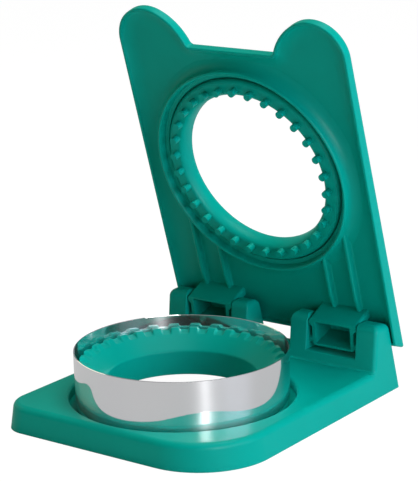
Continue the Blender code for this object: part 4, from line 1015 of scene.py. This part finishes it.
# %% Profile of the pegged ring
PEG_LEVEL = 3.6 * MM
PEG_COUNT, PEG_RADIUS, PEG_HEIGHT = 30, 1.5 * MM, 3.1 * MM
PEG_CIRCLE = LID_BORE_RADIUS + 3.1 * MM
RING_STANDS_OUT, BARB_CHAMFER, BORE_CHAMFER = 1.1 * MM, 0.33 * MM, 0.6 * MM
ring_top = LID_OUTSIDE + RING_STANDS_OUT
ring_seat = LID_FLOOR - SEAT_GAP
barb_level = PEG_SEAT_LEVEL + SEAT_GAP
RING_CLEAR = 0.2 * MM
FACE_ROUND, BORE_REACH, BORE_FALL = 1.7 * MM, 2.3 * MM, 4.2 * MM
face_radius = PEG_RING_RADIUS - RING_CLEAR
peg_profile = [(LID_BORE_RADIUS + BORE_CHAMFER, ring_top), (PEG_SPIGOT, ring_top),
               (barb, ring_top - BARB_CHAMFER), (barb, barb_level), (PEG_SPIGOT, barb_level),
               (PEG_SPIGOT, ring_seat), (face_radius, ring_seat)]
peg_profile += arc((face_radius - FACE_ROUND, PEG_LEVEL + FACE_ROUND), FACE_ROUND, 0.0, -90.0, 6)
peg_profile += span((face_radius - FACE_ROUND, PEG_LEVEL), (LID_BORE_RADIUS + BORE_REACH, PEG_LEVEL),
                    4)[1:]
peg_profile += [(LID_BORE_RADIUS + BORE_REACH * (1 - math.sin(t)), PEG_LEVEL + BORE_FALL * (1 - math.cos(t)))
                for t in angles(7.5, 13)]
peg_profile += [(LID_BORE_RADIUS, ring_top - BORE_CHAMFER)]
pegged_ring = spun("pegged_ring", peg_profile, CENTRE, 240)
print(f"pegged ring: a profile of {len(peg_profile)} points, {PEG_COUNT} pegs to come")

# %% Pegs on a circle
PEG_SUNK = 0.6 * MM
PEG_SIZES = {"Pegs": PEG_COUNT, "Circle": PEG_CIRCLE, "Centre Y": -HINGE_REACH,
             "Root": PEG_LEVEL + PEG_SUNK, "Height": PEG_HEIGHT + PEG_SUNK, "Radius": PEG_RADIUS}
pegs, given = node_tree("Pegs on a circle", PEG_SIZES)
stem = pegs.add("GeometryNodeCurvePrimitiveLine", None, {
    "Start": (0.0, 0.0, 0.0), "End": pegs.vector(z=given["Height"] * -1.0)})[0]
stem = pegs.add("GeometryNodeResampleCurve", None, {"Curve": stem, "Count": 36})[0]
along = pegs.add("GeometryNodeSplineParameter")["Length"]
to_tip = given["Height"] - along
inside = (1.0 - to_tip / given["Radius"]).maths("MAXIMUM", 0.0)
tip = (1.0 - inside * inside).maths("MAXIMUM", 0.0004).maths("SQRT")
draft = 1.0 + to_tip / given["Height"] * 0.06
stem = pegs.add("GeometryNodeSetCurveRadius", None, {"Curve": stem, "Radius": tip * draft})[0]
round_section = pegs.add("GeometryNodeCurvePrimitiveCircle", None, {
    "Resolution": 20, "Radius": given["Radius"]})[0]
peg = pegs.add("GeometryNodeCurveToMesh", None, {
    "Curve": stem, "Profile Curve": round_section, "Fill Caps": True})[0]
peg = pegs.add("GeometryNodeSetShadeSmooth", None, {0: peg})[0]
circle = pegs.add("GeometryNodeMeshCircle", None, {"Vertices": given["Pegs"], "Radius": given["Circle"]})[0]
half_pitch = math.pi / PEG_COUNT
circle = pegs.add("GeometryNodeTransform", None, {
    "Geometry": circle, "Rotation": (0.0, 0.0, half_pitch),
    "Translation": pegs.vector(y=given["Centre Y"], z=given["Root"])})[0]
stood = pegs.add("GeometryNodeInstanceOnPoints", None, {"Points": circle, "Instance": peg})[0]
both = pegs.add("GeometryNodeJoinGeometry")
pegs.tree.links.new(given["Geometry"].socket, both.node.inputs[0])
pegs.tree.links.new(stood.socket, both.node.inputs[0])
close_tree(pegs, both[0], ring_green)
grow(pegged_ring, pegs, PEG_SIZES)
pegged_ring.data.transform(LID_OPEN)
smooth(pegged_ring, 60.0)

# %% [markdown]
# ## Pins and screws
# The four hinge pins are plain steel bars, so their CAD solids stay and only get a metal. The screws show
# from below: each gets a pan head with a cross slot, made once and set on four points by Geometry Nodes.
# Four copies placed by hand would look the same, but here one named circle moves them all.

# %% Screws
screw_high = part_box("ring_screw_1")[1]
HEAD_TOP = WELL_FLOOR_HEIGHT - WELL_FLOOR - SEAT_GAP
HEAD_HEIGHT, HEAD_RADIUS = 1.5 * MM, 2.7 * MM
screw_profile = [(0.0, screw_high.z), (SCREW_RADIUS * 0.5, screw_high.z),
                 (SCREW_RADIUS, screw_high.z - SCREW_RADIUS), (SCREW_RADIUS, HEAD_TOP),
                 (HEAD_RADIUS, HEAD_TOP)]
screw_profile += [(HEAD_RADIUS * math.cos(t), HEAD_TOP - HEAD_HEIGHT * (0.35 + 0.65 * math.sin(t)))
                  for t in angles(15.0, 6)]
screw_profile += [(0.0, HEAD_TOP - HEAD_HEIGHT)]
screws = spun("ring_screws", screw_profile, (0, 0, 0), 40)
SLOT_LENGTH, SLOT_HALF = 1.6 * MM, 0.28 * MM
slots = [block("slot_x", (-SLOT_LENGTH, -SLOT_HALF, HEAD_TOP - 2 * HEAD_HEIGHT),
               (SLOT_LENGTH, SLOT_HALF, HEAD_TOP - HEAD_HEIGHT * 0.45)),
         block("slot_y", (-SLOT_HALF, -SLOT_LENGTH, HEAD_TOP - 2 * HEAD_HEIGHT),
               (SLOT_HALF, SLOT_LENGTH, HEAD_TOP - HEAD_HEIGHT * 0.45))]
cut(screws, *slots)
SCREW_SIZES = {"Screws": len(SCREW_ANGLES), "Circle": SCREW_CIRCLE, "Centre Y": RING_Y}
fixings, given = node_tree("Screws on a circle", SCREW_SIZES)
circle = fixings.add("GeometryNodeMeshCircle", None, {
    "Vertices": given["Screws"], "Radius": given["Circle"]})[0]
circle = fixings.add("GeometryNodeTransform", None, {
    "Geometry": circle, "Translation": fixings.vector(y=given["Centre Y"])})[0]
stood = fixings.add("GeometryNodeInstanceOnPoints", None, {
    "Points": circle, "Instance": given["Geometry"]})[0]
close_tree(fixings, stood, screw_steel)
grow(screws, fixings, SCREW_SIZES)
smooth(screws)

# %% [markdown]
# ## Dress the frame
# Every piece rides on the CAD body it belongs to and hides the solid it stands for. The pins keep their
# solids.

# %% Ride and replace
SCREW_NODES = [f"ring_screw_{number + 1}" for number in range(4)]
PIECES = (
    (base, "base", body_green, "teal_plastic", ["base_plate"]),
    (steel_ring, "base", ring_steel, "polished_steel", ["cutter_ring"]),
    (toothed_ring, "base", ring_green, "teal_plastic_rings", ["lower_sealing_ring"]),
    (screws, "base", screw_steel, "plated_screw_steel", SCREW_NODES),
    (lid, "lid", body_green, "teal_plastic", ["lid_plate"]),
    (pegged_ring, "lid", ring_green, "teal_plastic_rings", ["upper_sealing_ring"]))
for item, body, material, slot, nodes in PIECES:
    item.data.materials.clear()
    item.data.materials.append(material)
    for face in item.data.polygons:
        face.material_index = 0
    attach(item, body)
    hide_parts(*nodes)
for name, node in frame["nodes"].items():
    if name.startswith("hinge_pin"):
        for slot in node.material_slots:
            slot.material = pin_steel
print("pieces:", [item.name for item, *_ in PIECES])

# %% [markdown]
# ## Floor and light
# The photograph has a white ground and soft light. A key lamp and a smaller fill stand at the right, a soft
# lamp hangs above, and weak fills come from the left and from low in front. So what faces right is bright,
# what faces up is a little darker, and what faces the camera is in soft shade. A narrow strip, which only
# reflections see, draws the bright streak on the steel. The floor shows white to the camera and grey to
# reflections, and keeps a faint shadow. Stronger lamps could whiten it too, but they would bleach the green.

# %% Floor
def ray_kinds(graph):
    """1 for rays that the camera sends, also through glass, and 1 for rays that a gloss reflects."""
    rays = graph.add("ShaderNodeLightPath")
    return rays["Is Camera Ray"].maths("MAXIMUM", rays["Is Transmission Ray"]), rays["Is Glossy Ray"]


floor_mesh = bpy.data.meshes.new("floor")
FLOOR_HALF = 3.0
floor_mesh.from_pydata([(-FLOOR_HALF, -FLOOR_HALF, 0), (FLOOR_HALF, -FLOOR_HALF, 0),
                        (FLOOR_HALF, FLOOR_HALF, 0), (-FLOOR_HALF, FLOOR_HALF, 0)], [], [(0, 1, 2, 3)])
floor = new_object("floor", floor_mesh)
paper, graph = new_material("white_floor")
through, mirrored = ray_kinds(graph)
spot_on_floor = graph.axes(graph.add("ShaderNodeTexCoord")["Object"])
beside = spot_on_floor[0].maths("ABSOLUTE").maths("GREATER_THAN", HALF_WIDTH)
before = spot_on_floor[1].maths("ABSOLUTE").maths("GREATER_THAN", REAR_Y)
clear_of_base = beside.maths("MAXIMUM", before)
FLOOR_WHITE, FLOOR_MIRRORED, FLOOR_SHARE = 1.06, 0.60, 0.93
matt = graph.add("ShaderNodeBsdfDiffuse", None, {"Color": (0.85, 0.85, 0.85, 1.0)})
glow = graph.add("ShaderNodeEmission", None, {
    "Color": (1.0, 1.0, 1.0, 1.0),
    "Strength": through * FLOOR_WHITE + mirrored * clear_of_base * FLOOR_MIRRORED})
mixed = graph.add("ShaderNodeMixShader", None, {
    0: through.maths("MAXIMUM", mirrored) * FLOOR_SHARE, 1: matt[0], 2: glow[0]})
close_material(graph, mixed)
floor.data.materials.append(paper)
print(f"floor {2 * FLOOR_HALF:.0f} m wide")

# %% World and lamps
world = bpy.data.worlds.new("white_room")
bpy.context.scene.world = world
world.use_nodes = True
world.node_tree.nodes.clear()
graph = Graph(world.node_tree)
through, mirrored = ray_kinds(graph)
ROOM_LIGHT, ROOM_MIRRORED = 0.02, 0.30
shade = blend_colours(graph, through.maths("MAXIMUM", mirrored), (1.0, 1.0, 0.75), (1.0, 1.0, 1.0))
strength = through * (1.0 - ROOM_LIGHT) + mirrored * (ROOM_MIRRORED - ROOM_LIGHT) + ROOM_LIGHT
sky = graph.add("ShaderNodeBackground", None, {"Color": shade, "Strength": strength})
out = graph.add("ShaderNodeOutputWorld")
world.node_tree.links.new(sky[0].socket, out.node.inputs["Surface"])

MIDDLE = Vector((0.0, 0.0, 0.06))


def area_light(name, place, size, power, tint=(1.0, 1.0, 1.0)):
    data = bpy.data.lights.new(name, "AREA")
    data.shape = "RECTANGLE"
    data.size, data.size_y = size
    data.energy = power
    data.color = tint
    lamp = new_object(name, data)
    lamp.location = place
    lamp.rotation_mode = "QUATERNION"
    lamp.rotation_quaternion = (MIDDLE - Vector(place)).to_track_quat("-Z", "Y")
    return lamp


area_light("key_from_right", (0.78, 0.05, 0.30), (0.45, 0.45), 4.5, (0.90, 0.96, 1.14))
area_light("fill_right_front", (0.70, -0.34, 0.24), (0.3, 0.3), 1.2, (0.92, 0.98, 1.10))
area_light("top_soft", (0.08, 0.14, 0.88), (0.5, 0.5), 5.2, (1.0, 1.0, 0.95))
area_light("fill_from_left", (-0.78, -0.12, 0.35), (0.6, 0.6), 1.3, (1.0, 1.0, 0.70))
area_light("fill_low_front", (0.05, -0.85, 0.10), (0.8, 0.14), 0.4, (1.0, 1.0, 0.75))
# The matt surfaces don't see the strip, so it lights the polished steel alone
strip = area_light("strip_for_steel", (0.65, -0.395, 0.20), (0.08, 0.34), 5.2)
strip.visible_diffuse = False
view = bpy.context.scene.view_settings
view.view_transform = "Standard"
